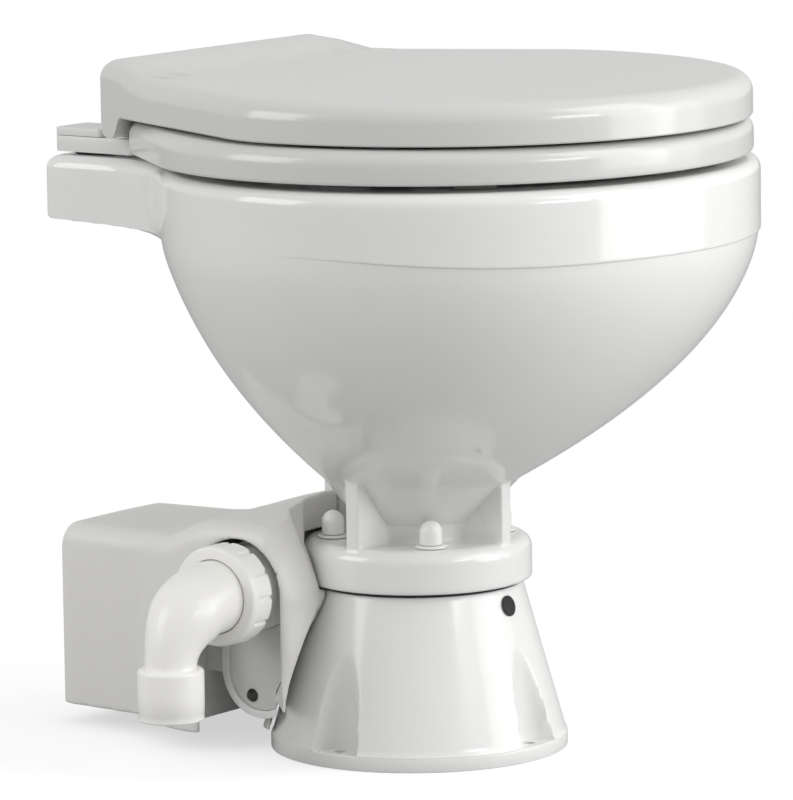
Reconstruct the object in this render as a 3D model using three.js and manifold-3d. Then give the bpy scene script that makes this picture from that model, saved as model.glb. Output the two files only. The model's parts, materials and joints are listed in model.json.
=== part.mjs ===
// Electric marine toilet with a compact ceramic bowl, a macerator pump and a swivelling discharge elbow.
// Millimetres, +Z up, front of the bowl towards -Y, origin on the floor under the middle of the pedestal.
import * as THREE from 'three';
import { mergeVertices } from 'three/addons/utils/BufferGeometryUtils.js';
import Module from 'manifold-3d';

const wasm = await Module();
wasm.setup();

// Clearances and facet counts
const gap = 0.3; // between pieces that touch
const overrun = 3; // of a cutter past the face it cuts
const overlap = 1; // of shapes that are joined into one piece
const largeSides = 36;
const mediumSides = 20;
const smallSides = 10;
const hexSides = 6;
const roundingSteps = 3;
const quarterTurn = Math.PI / 2;
const halfTurn = Math.PI;
const fullTurn = Math.PI * 2;

// Pedestal
const footRadius = 81.8;
const footHeight = 8;
const footInnerRadius = 60;
const pedestalHeight = 91.5;
const pedestalTopRadius = 57.8;
const pedestalWall = 6;
const deckThickness = 7;
const scallopWidth = 29;
const scallopDepth = 15;
const scallopWall = 4;
const anchorCircleRadius = 73.3;
const anchorHoleRadius = 3.5;
const plugRadius = 5.7;
const plugHeight = 82.5;
const plugCapThickness = 1;
const plugStemRadius = 4;
const gasketThickness = 1.4;
const gasketBoreRadius = 30;

// Bowl
const flangeRadius = 63;
const flangeThickness = 23.5;
const flangeRounding = 7;
const coreRadius = 33;
const coreHeight = 33;
const coreRings = 4;
const coreFlarePower = 2.2; // power of the hollow curve between flange and bowl
const ribReach = 60;
const ribThickness = 9;
const ribRounding = 3;
const ribHeight = 48;
const bodyStartRadius = 54.5;
const bodyStartShift = 4.2;
const bodyBulgeShare = 0.81;
const bodyShiftShare = 1.33;
const bodyRings = 8;
const bodyHeight = 140.5;
const rimHalfWidth = 172.8;
const rimHalfLength = 157.8;
const rimShift = 31.8; // of the bowl's middle towards the front
const bandHeight = 34.5;
const creaseDrop = 5.5; // of the crease under the band at the front
const creaseDropStart = 40; // in front of the pedestal's middle
const creaseDropEnd = 165;
const creaseDropPower = 6;
const bandStep = 1.2;
const rimRounding = 7;
const bowlWall = 9;
const lipHalfWidth = 127;
const lipHalfLength = 112;
const lipThickness = 6;
const lipDepth = 26;
const channelHeight = 12;
const throatRadius = 21;
const throatHeight = 34;
const innerBodyRings = 5;
const innerBodyStartShare = 0.1; // of the body's height where its wall is full
const shelfHalfWidth = 92;
const shelfRearReach = 184;
const shelfRootReach = 96; // where its underside leaves the body
const shelfThickness = 35; // at the rear edge
const shelfRootThickness = 37;
const shelfEdge = 3;
const shelfCornerPower = 60; // the higher, the tighter the rear corners
const shelfBlend = 40; // of its sides into the oval
const shelfRootBlend = 4;
const shelfGussetDrop = 14;
const shelfGussetLength = 28;
// Directions round the bowl's middle, in degrees from its left side towards the rear
const bowlDirections = [
  -90, -80, -70, -60, -50, -40, -30, -20, -10, 0, 10, 20, 30,
  38, 45, 51, 55.5, 59, 62, 64.5, 66.2, 67.1, 68.4, 71, 77, 84, 90,
];

// Bowl fixings at the flange
const studInset = 16.5; // of the stud circle inside the flange
const studRadius = 3;
const studHeadRadius = 5.8;
const studBelowDeck = 5.5;
const studAboveWasher = 9;
const fixingWasherRadius = 8.7;
const fixingWasherThickness = 1.3;
const capNutRadius = 6.2;
const capNutHeight = 13;

// Waste sump and pump
const sumpRadius = 29;
const sumpWall = 4;
const sumpFloorHeight = 30;
const sumpFootRadius = 20;
const sumpFootHeight = 6;
const sumpStemRadius = 12;
const spigotHeight = 6; // of the bowl outlet above the sump seal
const motorAxisShift = 15; // towards the elbow side
const motorAxisHeight = 56;
const sumpTubeRadius = 22;
const sumpTubeReach = 42;
const pumpNeckRadius = 17.7;
const pumpNeckReach = 30;
const voluteRadius = 33;
const voluteFrontReach = 80;
const voluteDepth = 20;
const voluteWall = 4;
const backPlateThickness = 4;
const chamberHalfWidth = 26;
const chamberBottomHeight = 19;
const chamberFaceReach = 68; // of the U-shaped face from the middle plane
const chamberDepth = 34;
const chamberRim = 4;
const chamberPocketDepth = 4;
const chamberPlateThickness = 2;
const ductOuterReach = 62; // of the duct from the impeller chamber to the union
const ductInnerReach = 50;
const ductHalfHeight = 11;
const chamberScrewRadius = 3.8;
const chamberScrewHeadThickness = 2.6;
const chamberScrewHeight = 31;
const chamberScrewShift = 6.7; // of the screw behind the union axis
const chamberScrewShankRadius = 1.8;
const chamberScrewLength = 9;

// Union and discharge elbow
const unionReach = 58; // of the union axis behind the middle of the pedestal
const unionHeight = 92.9;
const bossRadius = 23.6;
const bossBoreRadius = 14;
const bossEndReach = 98.5;
const nutFaceReach = 108.4;
const nutDepth = 17;
const nutRadius = 27.5;
const nutGrooveDepth = 1.2;
const nutRidges = 12;
const nutGrooveShare = 0.12; // of each ridge's pitch
const nutFaceThickness = 3;
const nutFaceRounding = 1.5;
const spigotRadius = 20;
const elbowFlangeThickness = 3;
const bendStartReach = 113;
const legReach = 147;
const legEndHeight = 32;
const legRadius = 14;
const elbowWall = 3;
const collarRadius = 18;
const collarHeight = 28;
const collarEdge = 2;
const collarSocketDepth = 22;
const bendSteps = 7;
const taperStartShare = 0.35; // of the bend
const taperEndShare = 0.95;
const valveFlangeThickness = 2;
const valveLength = 16;
const valveTipRadius = 6;
const valveWall = 2;

// Motor
const motorRadius = 34;
const motorLength = 74;
const motorWall = 2.5;
const motorEndThickness = 12;
const motorEndRounding = 3;
const plateTopHeight = 104;
const magnetThickness = 6;
const magnetClearance = 0.8;
const magnetSpread = 2.2; // radians that each magnet spans
const armatureRadius = 21.5;
const armatureLength = 42;
const armatureSlots = 9;
const armatureSlotDepth = 5;
const armatureSlotShare = 0.3;
const commutatorRadius = 11;
const commutatorLength = 12;
const shaftRadius = 4;
const bearingRadius = 11;
const bearingWidth = 7;
const sealRadius = 9;
const sealWidth = 5;
const impellerVanes = 6;
const impellerRadius = 27;
const impellerHubRadius = 9;
const impellerDepth = 8;
const impellerDiscThickness = 2.5;
const impellerVaneThickness = 3;
const bladeLength = 32;
const bladeWidth = 9;
const bladeThickness = 3;

// Motor cover
const coverRearReach = 207;
const coverBottomHeight = 11;
const coverMiddleShift = 15; // towards the elbow side
const coverFrontHalfWidth = 73;
const coverWall = 3;
const coverClearance = 1.2;
const coverTopRounding = 11;
const coverFoldHalfWidth = 40; // where the front wall turns back along the pedestal
const coverFrontFootHeight = 28;
const archRadius = 28.5;
const archDepth = 4;
const hoodRoomHalfWidth = 54; // of the room that the hood leaves round the bowl's neck
const hoodRoomReach = 49.5;
const hoodRoomRounding = 24;
const coverCrownShare = 0.5; // of the way from the middle to the edge rounding
const coverCrownRiseShare = 0.75; // of the way from the edge height to the crest
// Distance behind the middle of the pedestal, half-width, height at the edge and at the crest
const coverSections = [
  [18, 73, 123, 139], [30, 73, 126, 140], [45, 73, 129.5, 139], [62, 73, 130.5, 136], [78, 73, 129.5, 131],
  [90, 73, 126.5, 127.5], [100, 72.5, 122, 124], [110, 70, 118, 120], [120, 64.5, 116, 117.5],
  [130, 57.5, 115, 116], [140, 52, 114.5, 115], [150, 49.5, 114.2, 114.5], [196, 46.3, 114, 114.3],
];
// Height, width and depth of the front corner, and distance behind the middle of the pedestal
// of the corner and of the fold
const coverFrontSections = [
  [5, 3, 3, 29, 66], [35, 3, 3, 29, 55], [62, 10, 6.5, 22.5, 39], [84, 24, 7, 21.5, 24],
  [92, 24, 7, 21.5, 22], [103, 24, 7, 25, 28.5], [112, 24, 7, 28.5, 34], [119, 24, 8, 32, 40],
  [150, 24, 8, 46, 50],
];

// Seat and lid
const hingeFromShelfRear = 44.5; // of the hinge axis
const hingeBelowLid = 0.8;
const ringShift = 23.9; // of the widest line towards the front
const planFrontSteps = 11;
const planRearSteps = 4;
const seatHalfWidth = 170.3;
const seatFrontLength = 163.2;
const seatOvalPastTab = 6.6;
const seatTabHalfWidth = 91;
const seatTabBeforeHinge = 14;
const seatCornerRounding = 8;
const seatThickness = 18.4;
const seatRounding = 8;
const seatSoftening = 2;
const seatAboveRim = 3.8;
const seatHoleHalfWidth = 106;
const seatHoleFrontLength = 122;
const seatHoleRearLength = 106;
const seatLugInner = 61.7;
const seatLugOuter = 70.6;
const seatBossRadius = 8.3;
const seatArmClearance = 1.3; // above the hinge block
const seatArmRoot = 12; // of its arms in front of the tab's rear edge
const lidHalfWidth = 164.4;
const lidFrontLength = 165.2;
const lidTabPastOval = 57.4;
const lidTabHalfWidth = 91.3;
const lidTabPastHinge = 4;
const lidCornerRounding = 1.5;
const lidAboveSeat = 1.6;
const lidThickness = 22.4;
const lidRise = 8.3;
const lidRiseLength = 48;
const lidRiseRings = 3;
const lidRounding = 10.4;
const lidSoftening = 0.8;
const lidWall = 4.5;
const lidLugInner = 80.4;
const lugBeforeHinge = 18;
const lugBottomBeforeHinge = 5.5;
const lugWaistBeforeHinge = 14; // where its front edge hangs steepest
const lugClearance = 1.5; // above the hinge block
const lugRounding = 9.5;
const notchBeforeHinge = 12.5;
const notchRise = 10; // above the hinge axis
const padThickness = 3.2;
const padRadius = 6;
const padLength = 24;
const padWidth = 10;
const seatPadInset = 22;
const seatPadTurns = [50, 130, 222, 318]; // degrees round the seat from its left side
const lidPadShare = 0.45; // of a quarter turn from the front

// Hinges
const blockOuterReach = 84;
const blockInnerReach = 56;
const blockBeforeHinge = 12.5;
const blockFromShelfRear = 2.3;
const blockHeight = 8.6;
const blockRounding = 3;
const hingeWasherThickness = 1;
const hingeWasherRadius = 11;
const hingeBoltFromShelfRear = 19;
const hingeBoltRadius = 4;
const hingeBoltHeadRadius = 7;
const hingeBoltHeadThickness = 4;
const hingeNutRadius = 8;
const hingeNutThickness = 7;
const hingeBoltTail = 5;
const nutPocketDepth = 16;
const nutPocketRadius = 12;
const hingeCapPastHinge = 9.5;
const hingeCapThickness = 4.2;
const pinRadius = 3;
const pinInner = 61.7;
const pinOuter = 88;
const knuckleRadius = 7.5;
const knuckleInner = 71;
const knuckleOuter = 80;

// Rinse water inlet
const rinseHeightBelowRim = 20;
const rinseRadius = 10;
const rinseBoreRadius = 6.5;
const rinseHexRadius = 14;
const rinseHexThickness = 8;
const rinseTailLength = 16;
const rinseSpigotLength = 24;
const rinseSpigotRadius = 8;
const rinseBarb = 1;

// Derived levels and places
const gasketTop = pedestalHeight + gap + gasketThickness;
const flangeBottom = gasketTop + gap;
const flangeTop = flangeBottom + flangeThickness;
const bodyStart = flangeTop + coreHeight;
const bandBottom = bodyStart + bodyHeight;
const rimTop = bandBottom + bandHeight;
const seatBottom = rimTop + seatAboveRim;
const seatTop = seatBottom + seatThickness;
const lidBottom = seatTop + lidAboveSeat;
const lidTop = lidBottom + lidThickness;
const blockBottom = rimTop + hingeWasherThickness + gap * 2;
const blockTop = blockBottom + blockHeight;
const rinseHeight = rimTop - rinseHeightBelowRim;
const rinseFace = shelfRearReach + gap;
const rinseSpigotStart = rinseFace - rinseSpigotLength;
const hingeReach = shelfRearReach - hingeFromShelfRear;
const hingeHeight = lidBottom - hingeBelowLid;
const hingeBoltReach = shelfRearReach - hingeBoltFromShelfRear;
const blockFrontReach = hingeReach - blockBeforeHinge;
const blockRearReach = shelfRearReach - blockFromShelfRear;
const hingeCapFrontReach = hingeReach + hingeCapPastHinge;
const seatTabReach = hingeReach - seatTabBeforeHinge;
const seatRearLength = seatTabReach + ringShift + seatOvalPastTab;
const seatArmLow = blockTop + seatArmClearance;
const lidTabReach = hingeReach + lidTabPastHinge;
const lidRearLength = lidTabReach + ringShift - lidTabPastOval;
const notchFrontReach = hingeReach - notchBeforeHinge;
const lugDrop = hingeHeight - blockTop - lugClearance;
const backPlateFront = voluteFrontReach + voluteDepth;
const motorFront = backPlateFront + backPlateThickness + gap;

const lidPlan = {
  halfWidth: lidHalfWidth,
  frontLength: lidFrontLength,
  rearLength: lidRearLength,
  tabHalfWidth: lidTabHalfWidth,
  tabReach: lidTabReach,
  cornerRounding: lidCornerRounding,
};
const seatPlan = {
  halfWidth: seatHalfWidth,
  frontLength: seatFrontLength,
  rearLength: seatRearLength,
  tabHalfWidth: seatTabHalfWidth,
  tabReach: seatTabReach,
  cornerRounding: seatCornerRounding,
};

// Materials
const glazed = { color: 0xe2e2df, roughness: 0.12, metalness: 0 };
const moulded = { color: 0xdededa, roughness: 0.2, metalness: 0 };
const satinGrey = { color: 0xc4c4c0, roughness: 0.45, metalness: 0 };
const pipeWhite = { color: 0xf1f0ea, roughness: 0.35, metalness: 0 };
const nutGrey = { color: 0xd8d7d2, roughness: 0.4, metalness: 0 };
const darkPlastic = { color: 0x6f706e, roughness: 0.5, metalness: 0 };
const blackRubber = { color: 0x141414, roughness: 0.8, metalness: 0 };
const steel = { color: 0xb8b9ba, roughness: 0.3, metalness: 1 };
const darkSteel = { color: 0x5a5955, roughness: 0.4, metalness: 1 };
const copper = { color: 0xb87333, roughness: 0.4, metalness: 1 };
const magnetGrey = { color: 0x3a3a3c, roughness: 0.7, metalness: 0 };

const group = new THREE.Group();

// Solid inside a closed geometry, with its faces pointing out
function solidOf(geometry) {
  const plain = geometry.clone();
  plain.deleteAttribute('normal');
  plain.deleteAttribute('uv');
  const merged = mergeVertices(plain);
  const places = merged.attributes.position.array;
  const kept = [];
  let sixVolumes = 0;
  const corners = [new THREE.Vector3(), new THREE.Vector3(), new THREE.Vector3()];
  for (let i = 0; i < merged.index.count; i += 3) {
    const trio = [0, 1, 2].map((step) => merged.index.getX(i + step));
    if (new Set(trio).size < 3) {
      continue;
    }
    trio.forEach((vertex, step) => corners[step].fromArray(places, vertex * 3));
    sixVolumes += corners[0].dot(corners[1].clone().cross(corners[2]));
    kept.push(trio);
  }
  const outward = sixVolumes < 0 ? kept.map((trio) => trio.slice().reverse()) : kept;
  const mesh = new wasm.Mesh({
    numProp: 3,
    vertProperties: new Float32Array(places),
    triVerts: new Uint32Array(outward.flat()),
  });
  return new wasm.Manifold(mesh);
}

function geometryOf(solid) {
  const mesh = solid.getMesh();
  const geometry = new THREE.BufferGeometry();
  geometry.setAttribute('position', new THREE.BufferAttribute(new Float32Array(mesh.vertProperties), 3));
  geometry.setIndex(new THREE.BufferAttribute(new Uint32Array(mesh.triVerts), 1));
  geometry.computeVertexNormals();
  return geometry;
}

function piece(name, solid, finish) {
  const mesh = new THREE.Mesh(geometryOf(solid), new THREE.MeshStandardMaterial(finish));
  mesh.name = name;
  group.add(mesh);
}

// Profiles are lists of [radius, height]
function turnedUp(profile, sides) {
  const points = profile.map(([radius, height]) => new THREE.Vector2(radius, height));
  return new THREE.LatheGeometry(points, sides).rotateX(quarterTurn);
}

function turnedBack(profile, sides) {
  const points = profile.map(([radius, height]) => new THREE.Vector2(radius, height));
  return new THREE.LatheGeometry(points, sides);
}

function turnedAcross(profile, sides) {
  const points = profile.map(([radius, height]) => new THREE.Vector2(radius, height));
  return new THREE.LatheGeometry(points, sides).rotateZ(-quarterTurn);
}

function rodProfile(radius, low, high) {
  return [[0, low], [radius, low], [radius, high], [0, high]];
}

function tubeProfile(outer, inner, low, high) {
  return [[inner, low], [outer, low], [outer, high], [inner, high], [inner, low]];
}

function block(lowX, highX, lowY, highY, lowZ, highZ) {
  const geometry = new THREE.BoxGeometry(highX - lowX, highY - lowY, highZ - lowZ);
  return geometry.translate((lowX + highX) / 2, (lowY + highY) / 2, (lowZ + highZ) / 2);
}

function extruded(shape, depth, curveSegments) {
  return new THREE.ExtrudeGeometry(shape, { depth, bevelEnabled: false, curveSegments });
}

// Upright prism over a rounded rectangle in plan
function roundedPlate(lowX, highX, lowY, highY, lowZ, highZ, rounding) {
  const shape = new THREE.Shape();
  shape.absarc(highX - rounding, lowY + rounding, rounding, -quarterTurn, 0);
  shape.absarc(highX - rounding, highY - rounding, rounding, 0, quarterTurn);
  shape.absarc(lowX + rounding, highY - rounding, rounding, quarterTurn, halfTurn);
  shape.absarc(lowX + rounding, lowY + rounding, rounding, halfTurn, halfTurn + quarterTurn);
  shape.closePath();
  return extruded(shape, highZ - lowZ, roundingSteps).translate(0, 0, lowZ);
}

// Closed surface through rings of equal point counts, capped at both ends
function loft(rings) {
  const count = rings[0].length;
  const places = [];
  const triangles = [];
  for (const ring of rings) {
    for (const point of ring) {
      places.push(point.x, point.y, point.z);
    }
  }
  for (let level = 0; level < rings.length - 1; level += 1) {
    for (let i = 0; i < count; i += 1) {
      const next = (i + 1) % count;
      const here = level * count;
      const above = here + count;
      triangles.push(here + i, here + next, above + next);
      triangles.push(here + i, above + next, above + i);
    }
  }
  const addCap = (ring, start, flipped) => {
    const centre = new THREE.Vector3();
    ring.forEach((point) => centre.add(point));
    centre.divideScalar(count);
    const hub = places.length / 3;
    places.push(centre.x, centre.y, centre.z);
    for (let i = 0; i < count; i += 1) {
      const next = (i + 1) % count;
      triangles.push(hub, start + (flipped ? next : i), start + (flipped ? i : next));
    }
  };
  addCap(rings[0], 0, true);
  addCap(rings[rings.length - 1], (rings.length - 1) * count, false);
  const geometry = new THREE.BufferGeometry();
  geometry.setAttribute('position', new THREE.Float32BufferAttribute(places, 3));
  geometry.setIndex(triangles);
  return geometry;
}

function ovalRing(halfWidth, halfLength, middleY, height, sides) {
  const ring = [];
  for (let i = 0; i < sides; i += 1) {
    const angle = (fullTurn * i) / sides;
    const x = halfWidth * Math.cos(angle);
    const y = middleY + halfLength * Math.sin(angle);
    ring.push(new THREE.Vector3(x, y, height));
  }
  return ring;
}

function mix(from, to, share) {
  return from + (to - from) * share;
}

function smoothStep(from, to, value) {
  const share = Math.min(Math.max((value - from) / (to - from), 0), 1);
  return share * share * (3 - 2 * share);
}

// Pedestal: a hollow cone on a flanged foot, with four scalloped pockets for the floor screws
function pedestalRadiusAt(height) {
  return mix(footRadius, pedestalTopRadius, (height - footHeight) / (pedestalHeight - footHeight));
}

function aroundPedestal(geometry, turn) {
  return geometry.clone().rotateZ(turn);
}

function scallopPocket(extra) {
  const shape = new THREE.Shape();
  shape.absellipse(0, -footRadius, scallopWidth / 2 + extra, scallopDepth + extra, 0, fullTurn);
  const depth = pedestalHeight - footHeight + overrun;
  return extruded(shape, depth, smallSides / 2).translate(0, 0, footHeight);
}

function makePedestal() {
  const deckBottom = pedestalHeight - deckThickness;
  let body = solidOf(turnedUp([
    [0, 0], [footRadius, 0], [footRadius, footHeight],
    [pedestalTopRadius, pedestalHeight], [0, pedestalHeight],
  ], largeSides));
  let hollow = solidOf(turnedUp([
    [0, footHeight], [pedestalRadiusAt(footHeight) - pedestalWall, footHeight],
    [pedestalRadiusAt(deckBottom) - pedestalWall, deckBottom], [0, deckBottom],
  ], largeSides));
  const anchorHole = turnedUp(rodProfile(anchorHoleRadius, -overrun, footHeight + overrun), smallSides)
    .translate(0, -anchorCircleRadius, 0);
  for (let side = 0; side < 4; side += 1) {
    hollow = hollow.subtract(solidOf(aroundPedestal(scallopPocket(scallopWall), side * quarterTurn)));
  }
  body = body.subtract(hollow);
  for (let side = 0; side < 4; side += 1) {
    body = body.subtract(solidOf(aroundPedestal(scallopPocket(0), side * quarterTurn)));
    body = body.subtract(solidOf(aroundPedestal(anchorHole, side * quarterTurn)));
  }
  body = body.subtract(solidOf(turnedUp(
    rodProfile(footInnerRadius, -overrun, footHeight + gap), largeSides,
  )));
  body = body.subtract(solidOf(turnedUp(
    rodProfile(sumpRadius + gap, deckBottom - overrun, pedestalHeight + overrun), mediumSides,
  )));
  const inletHole = turnedBack(rodProfile(pumpNeckRadius + gap, 0, footRadius + overrun), mediumSides);
  body = body.subtract(solidOf(alongMotor(inletHole)));
  const plugHole = turnedBack(rodProfile(plugStemRadius + gap, -footRadius, -footRadius / 2), smallSides)
    .translate(0, 0, plugHeight);
  body = body.subtract(solidOf(plugHole));
  for (const [x, y] of studPlaces()) {
    const hole = turnedUp(
      rodProfile(studRadius + gap, deckBottom - overrun, pedestalHeight + overrun), smallSides,
    ).translate(x, y, 0);
    body = body.subtract(solidOf(hole));
  }
  piece('pedestal', body, moulded);
}

function studPlaces() {
  const half = (flangeRadius - studInset) * Math.SQRT1_2;
  return [[-half, -half], [half, -half], [half, half], [-half, half]];
}

function makePlug() {
  const face = pedestalRadiusAt(plugHeight);
  const tilt = Math.atan2(footRadius - pedestalTopRadius, pedestalHeight - footHeight);
  const cap = turnedBack([
    [0, gap], [plugRadius, gap], [plugRadius, gap + plugCapThickness / 2],
    [plugRadius / 2, gap + plugCapThickness], [0, gap + plugCapThickness],
  ], smallSides).rotateZ(halfTurn).rotateX(-tilt).translate(0, -face, plugHeight);
  const stem = turnedBack(rodProfile(plugStemRadius, -face - gap, pedestalWall - face), smallSides)
    .translate(0, 0, plugHeight);
  piece('vent_plug', solidOf(cap).add(solidOf(stem)), blackRubber);
}

function makeGasket() {
  let ring = solidOf(turnedUp(
    tubeProfile(pedestalTopRadius - gap, gasketBoreRadius, pedestalHeight + gap, gasketTop), largeSides,
  ));
  for (const [x, y] of studPlaces()) {
    const hole = turnedUp(
      rodProfile(studRadius + gap, pedestalHeight - overrun, gasketTop + overrun), smallSides,
    ).translate(x, y, 0);
    ring = ring.subtract(solidOf(hole));
  }
  piece('bowl_gasket', ring, blackRubber);
}

// Bowl: flange and ribbed neck, a round body that widens to an oval rim, and a shelf for the hinges
function bodyShareAt(share, bulge) {
  return share * (1 + bulge * (1 - share));
}

function softMax(a, b, width) {
  const share = Math.max(width - Math.abs(a - b), 0) / width;
  return Math.max(a, b) + (share * share * width) / 4;
}

function bowlTurns() {
  const left = bowlDirections.map((direction) => THREE.MathUtils.degToRad(direction));
  const right = left.slice(1, -1).reverse().map((angle) => halfTurn - angle);
  return [...left, ...right];
}

// Distance to the shelf's outline, in a direction from the middle of an oval in front of it
function shelfDistance(angle, halfWidth, reachFromMiddle) {
  if (Math.sin(angle) <= 0) {
    return 0;
  }
  const sideways = Math.abs(Math.cos(angle)) / halfWidth;
  const back = Math.sin(angle) / reachFromMiddle;
  return (sideways ** shelfCornerPower + back ** shelfCornerPower) ** (-1 / shelfCornerPower);
}

function creaseDropAt(y, share) {
  return creaseDrop * smoothStep(-creaseDropStart, -creaseDropEnd, y) * share ** creaseDropPower;
}

// Oval about its own middle, with the shelf blended into its rear
function bowlRing(oval, shelfReach, inset, share) {
  const grown = smoothStep(shelfRootReach, shelfRootReach + shelfGussetLength, shelfReach);
  const halfWidth = oval.halfWidth - inset;
  const halfLength = oval.halfLength - inset;
  return bowlTurns().map((angle) => {
    let distance = 1 / Math.hypot(Math.cos(angle) / halfWidth, Math.sin(angle) / halfLength);
    if (shelfReach > shelfRootReach) {
      const shelf = shelfDistance(angle, shelfHalfWidth - inset, shelfReach - inset - oval.middle);
      distance = softMax(distance, shelf, mix(shelfRootBlend, shelfBlend, grown));
    }
    const y = oval.middle + distance * Math.sin(angle);
    return new THREE.Vector3(distance * Math.cos(angle), y, oval.height - creaseDropAt(y, share));
  });
}

function bowlOuterRings() {
  const rings = [];
  const round = (radius, middle, height) => rings.push(
    bowlRing({ halfWidth: radius, halfLength: radius, middle, height }, 0, 0, 0),
  );
  round(flangeRadius, 0, flangeBottom);
  for (let step = 0; step <= roundingSteps; step += 1) {
    const angle = (quarterTurn * step) / roundingSteps;
    const radius = flangeRadius - flangeRounding * (1 - Math.cos(angle));
    round(radius, 0, flangeTop - flangeRounding * (1 - Math.sin(angle)));
  }
  for (let step = 0; step < coreRings; step += 1) {
    const share = step / coreRings;
    const radius = mix(coreRadius, bodyStartRadius, share ** coreFlarePower);
    round(radius, -bodyStartShift * share, flangeTop + coreHeight * share);
  }
  const bodyTo = (height, shelfReach) => {
    const share = (height - bodyStart) / bodyHeight;
    rings.push(bowlRing(bodyOval(share, 0), shelfReach, 0, share));
  };
  const rootHeight = rimTop - shelfRootThickness;
  const gussetStart = rootHeight - shelfGussetDrop;
  for (let step = 0; step < bodyRings; step += 1) {
    bodyTo(mix(bodyStart, gussetStart, step / bodyRings), 0);
  }
  for (let step = 0; step <= roundingSteps; step += 1) {
    const angle = (quarterTurn * step) / roundingSteps;
    const reach = shelfRootReach + shelfGussetLength * (1 - Math.cos(angle));
    bodyTo(gussetStart + shelfGussetDrop * Math.sin(angle), reach);
  }
  bodyTo(rimTop - shelfThickness, shelfRearReach - shelfEdge);
  bodyTo(bandBottom, shelfRearReach);
  const rimOval = { halfWidth: rimHalfWidth, halfLength: rimHalfLength, middle: -rimShift };
  const rim = (inset, height, share) => {
    rings.push(bowlRing({ ...rimOval, height }, shelfRearReach, inset, share));
  };
  rim(0, bandBottom + bandStep, 1);
  for (let step = 0; step <= roundingSteps; step += 1) {
    const angle = (quarterTurn * step) / roundingSteps;
    rim(rimRounding * (1 - Math.cos(angle)), rimTop - rimRounding * (1 - Math.sin(angle)), 0);
  }
  return rings;
}

function bodyOval(share, wall) {
  const grown = bodyShareAt(share, bodyBulgeShare);
  return {
    halfWidth: mix(bodyStartRadius, rimHalfWidth - bandStep, grown) - wall,
    halfLength: mix(bodyStartRadius, rimHalfLength - bandStep, grown) - wall,
    middle: -mix(bodyStartShift, rimShift, bodyShareAt(share, bodyShiftShare)),
    height: bodyStart + bodyHeight * share,
  };
}

function bodyRing(share, wall) {
  const { halfWidth, halfLength, middle, height } = bodyOval(share, wall);
  return ovalRing(halfWidth, halfLength, middle, height, largeSides);
}

function bowlInnerRings() {
  const rings = [];
  const throatTop = bodyStart - flangeRounding;
  rings.push(ovalRing(throatRadius, throatRadius, 0, flangeBottom - overrun, largeSides));
  rings.push(ovalRing(throatRadius, throatRadius, 0, flangeBottom + throatHeight, largeSides));
  const flare = bodyRing(innerBodyStartShare, bowlWall * 2);
  const hollow = mix(throatRadius, flare[0].x, 1 / 3);
  rings.push(ovalRing(hollow, hollow, -bodyStartShift, mix(throatTop, flare[0].z, 1 / 3), largeSides));
  for (let step = 1; step <= innerBodyRings; step += 1) {
    rings.push(bodyRing(mix(innerBodyStartShare, 1, step / innerBodyRings), bowlWall));
  }
  const middle = -rimShift;
  const channelTop = rimTop - lipDepth + channelHeight;
  const outerWidth = rimHalfWidth - bowlWall;
  const outerLength = rimHalfLength - bowlWall;
  const oval = (width, length, height) => rings.push(ovalRing(width, length, middle, height, largeSides));
  oval(outerWidth, outerLength, channelTop);
  oval(lipHalfWidth + lipThickness, lipHalfLength + lipThickness, channelTop);
  oval(lipHalfWidth + lipThickness, lipHalfLength + lipThickness, rimTop - lipDepth);
  oval(lipHalfWidth, lipHalfLength, rimTop - lipDepth);
  oval(lipHalfWidth, lipHalfLength, rimTop - lipThickness);
  oval(lipHalfWidth + lipThickness, lipHalfLength + lipThickness, rimTop + gap);
  return rings;
}

function ribCross() {
  const half = ribThickness / 2;
  const low = flangeTop - flangeRounding;
  const high = flangeTop + ribHeight;
  const across = roundedPlate(-ribReach, ribReach, -half, half, low, high, ribRounding);
  const along = roundedPlate(-half, half, -ribReach, ribReach, low, high, ribRounding);
  return solidOf(across).add(solidOf(along));
}

function makeBowl() {
  let body = solidOf(loft(bowlOuterRings())).add(ribCross());
  body = body.subtract(solidOf(loft(bowlInnerRings())));
  for (const [x, y] of studPlaces()) {
    const hole = turnedUp(
      rodProfile(studRadius + gap, flangeBottom - overrun, flangeTop + overrun), smallSides,
    ).translate(x, y, 0);
    body = body.subtract(solidOf(hole));
  }
  const below = rimTop - shelfThickness;
  const boltHole = rodProfile(hingeBoltRadius + gap, below - overrun, rimTop + overrun);
  const nutPocket = rodProfile(nutPocketRadius, below - overrun, below + nutPocketDepth);
  for (const side of [-1, 1]) {
    for (const profile of [boltHole, nutPocket]) {
      const hole = turnedUp(profile, smallSides).translate(side * hingeMiddle(), hingeBoltReach, 0);
      body = body.subtract(solidOf(hole));
    }
  }
  const boreStart = Math.min(rimHalfLength - rimShift - bowlWall * 2, rinseSpigotStart - gap);
  const inletBore = rodProfile(rinseSpigotRadius + gap, boreStart, shelfRearReach + overrun);
  const inlet = turnedBack(inletBore, smallSides).translate(0, 0, rinseHeight);
  body = body.subtract(solidOf(inlet));
  piece('bowl', body, glazed);
}

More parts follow.
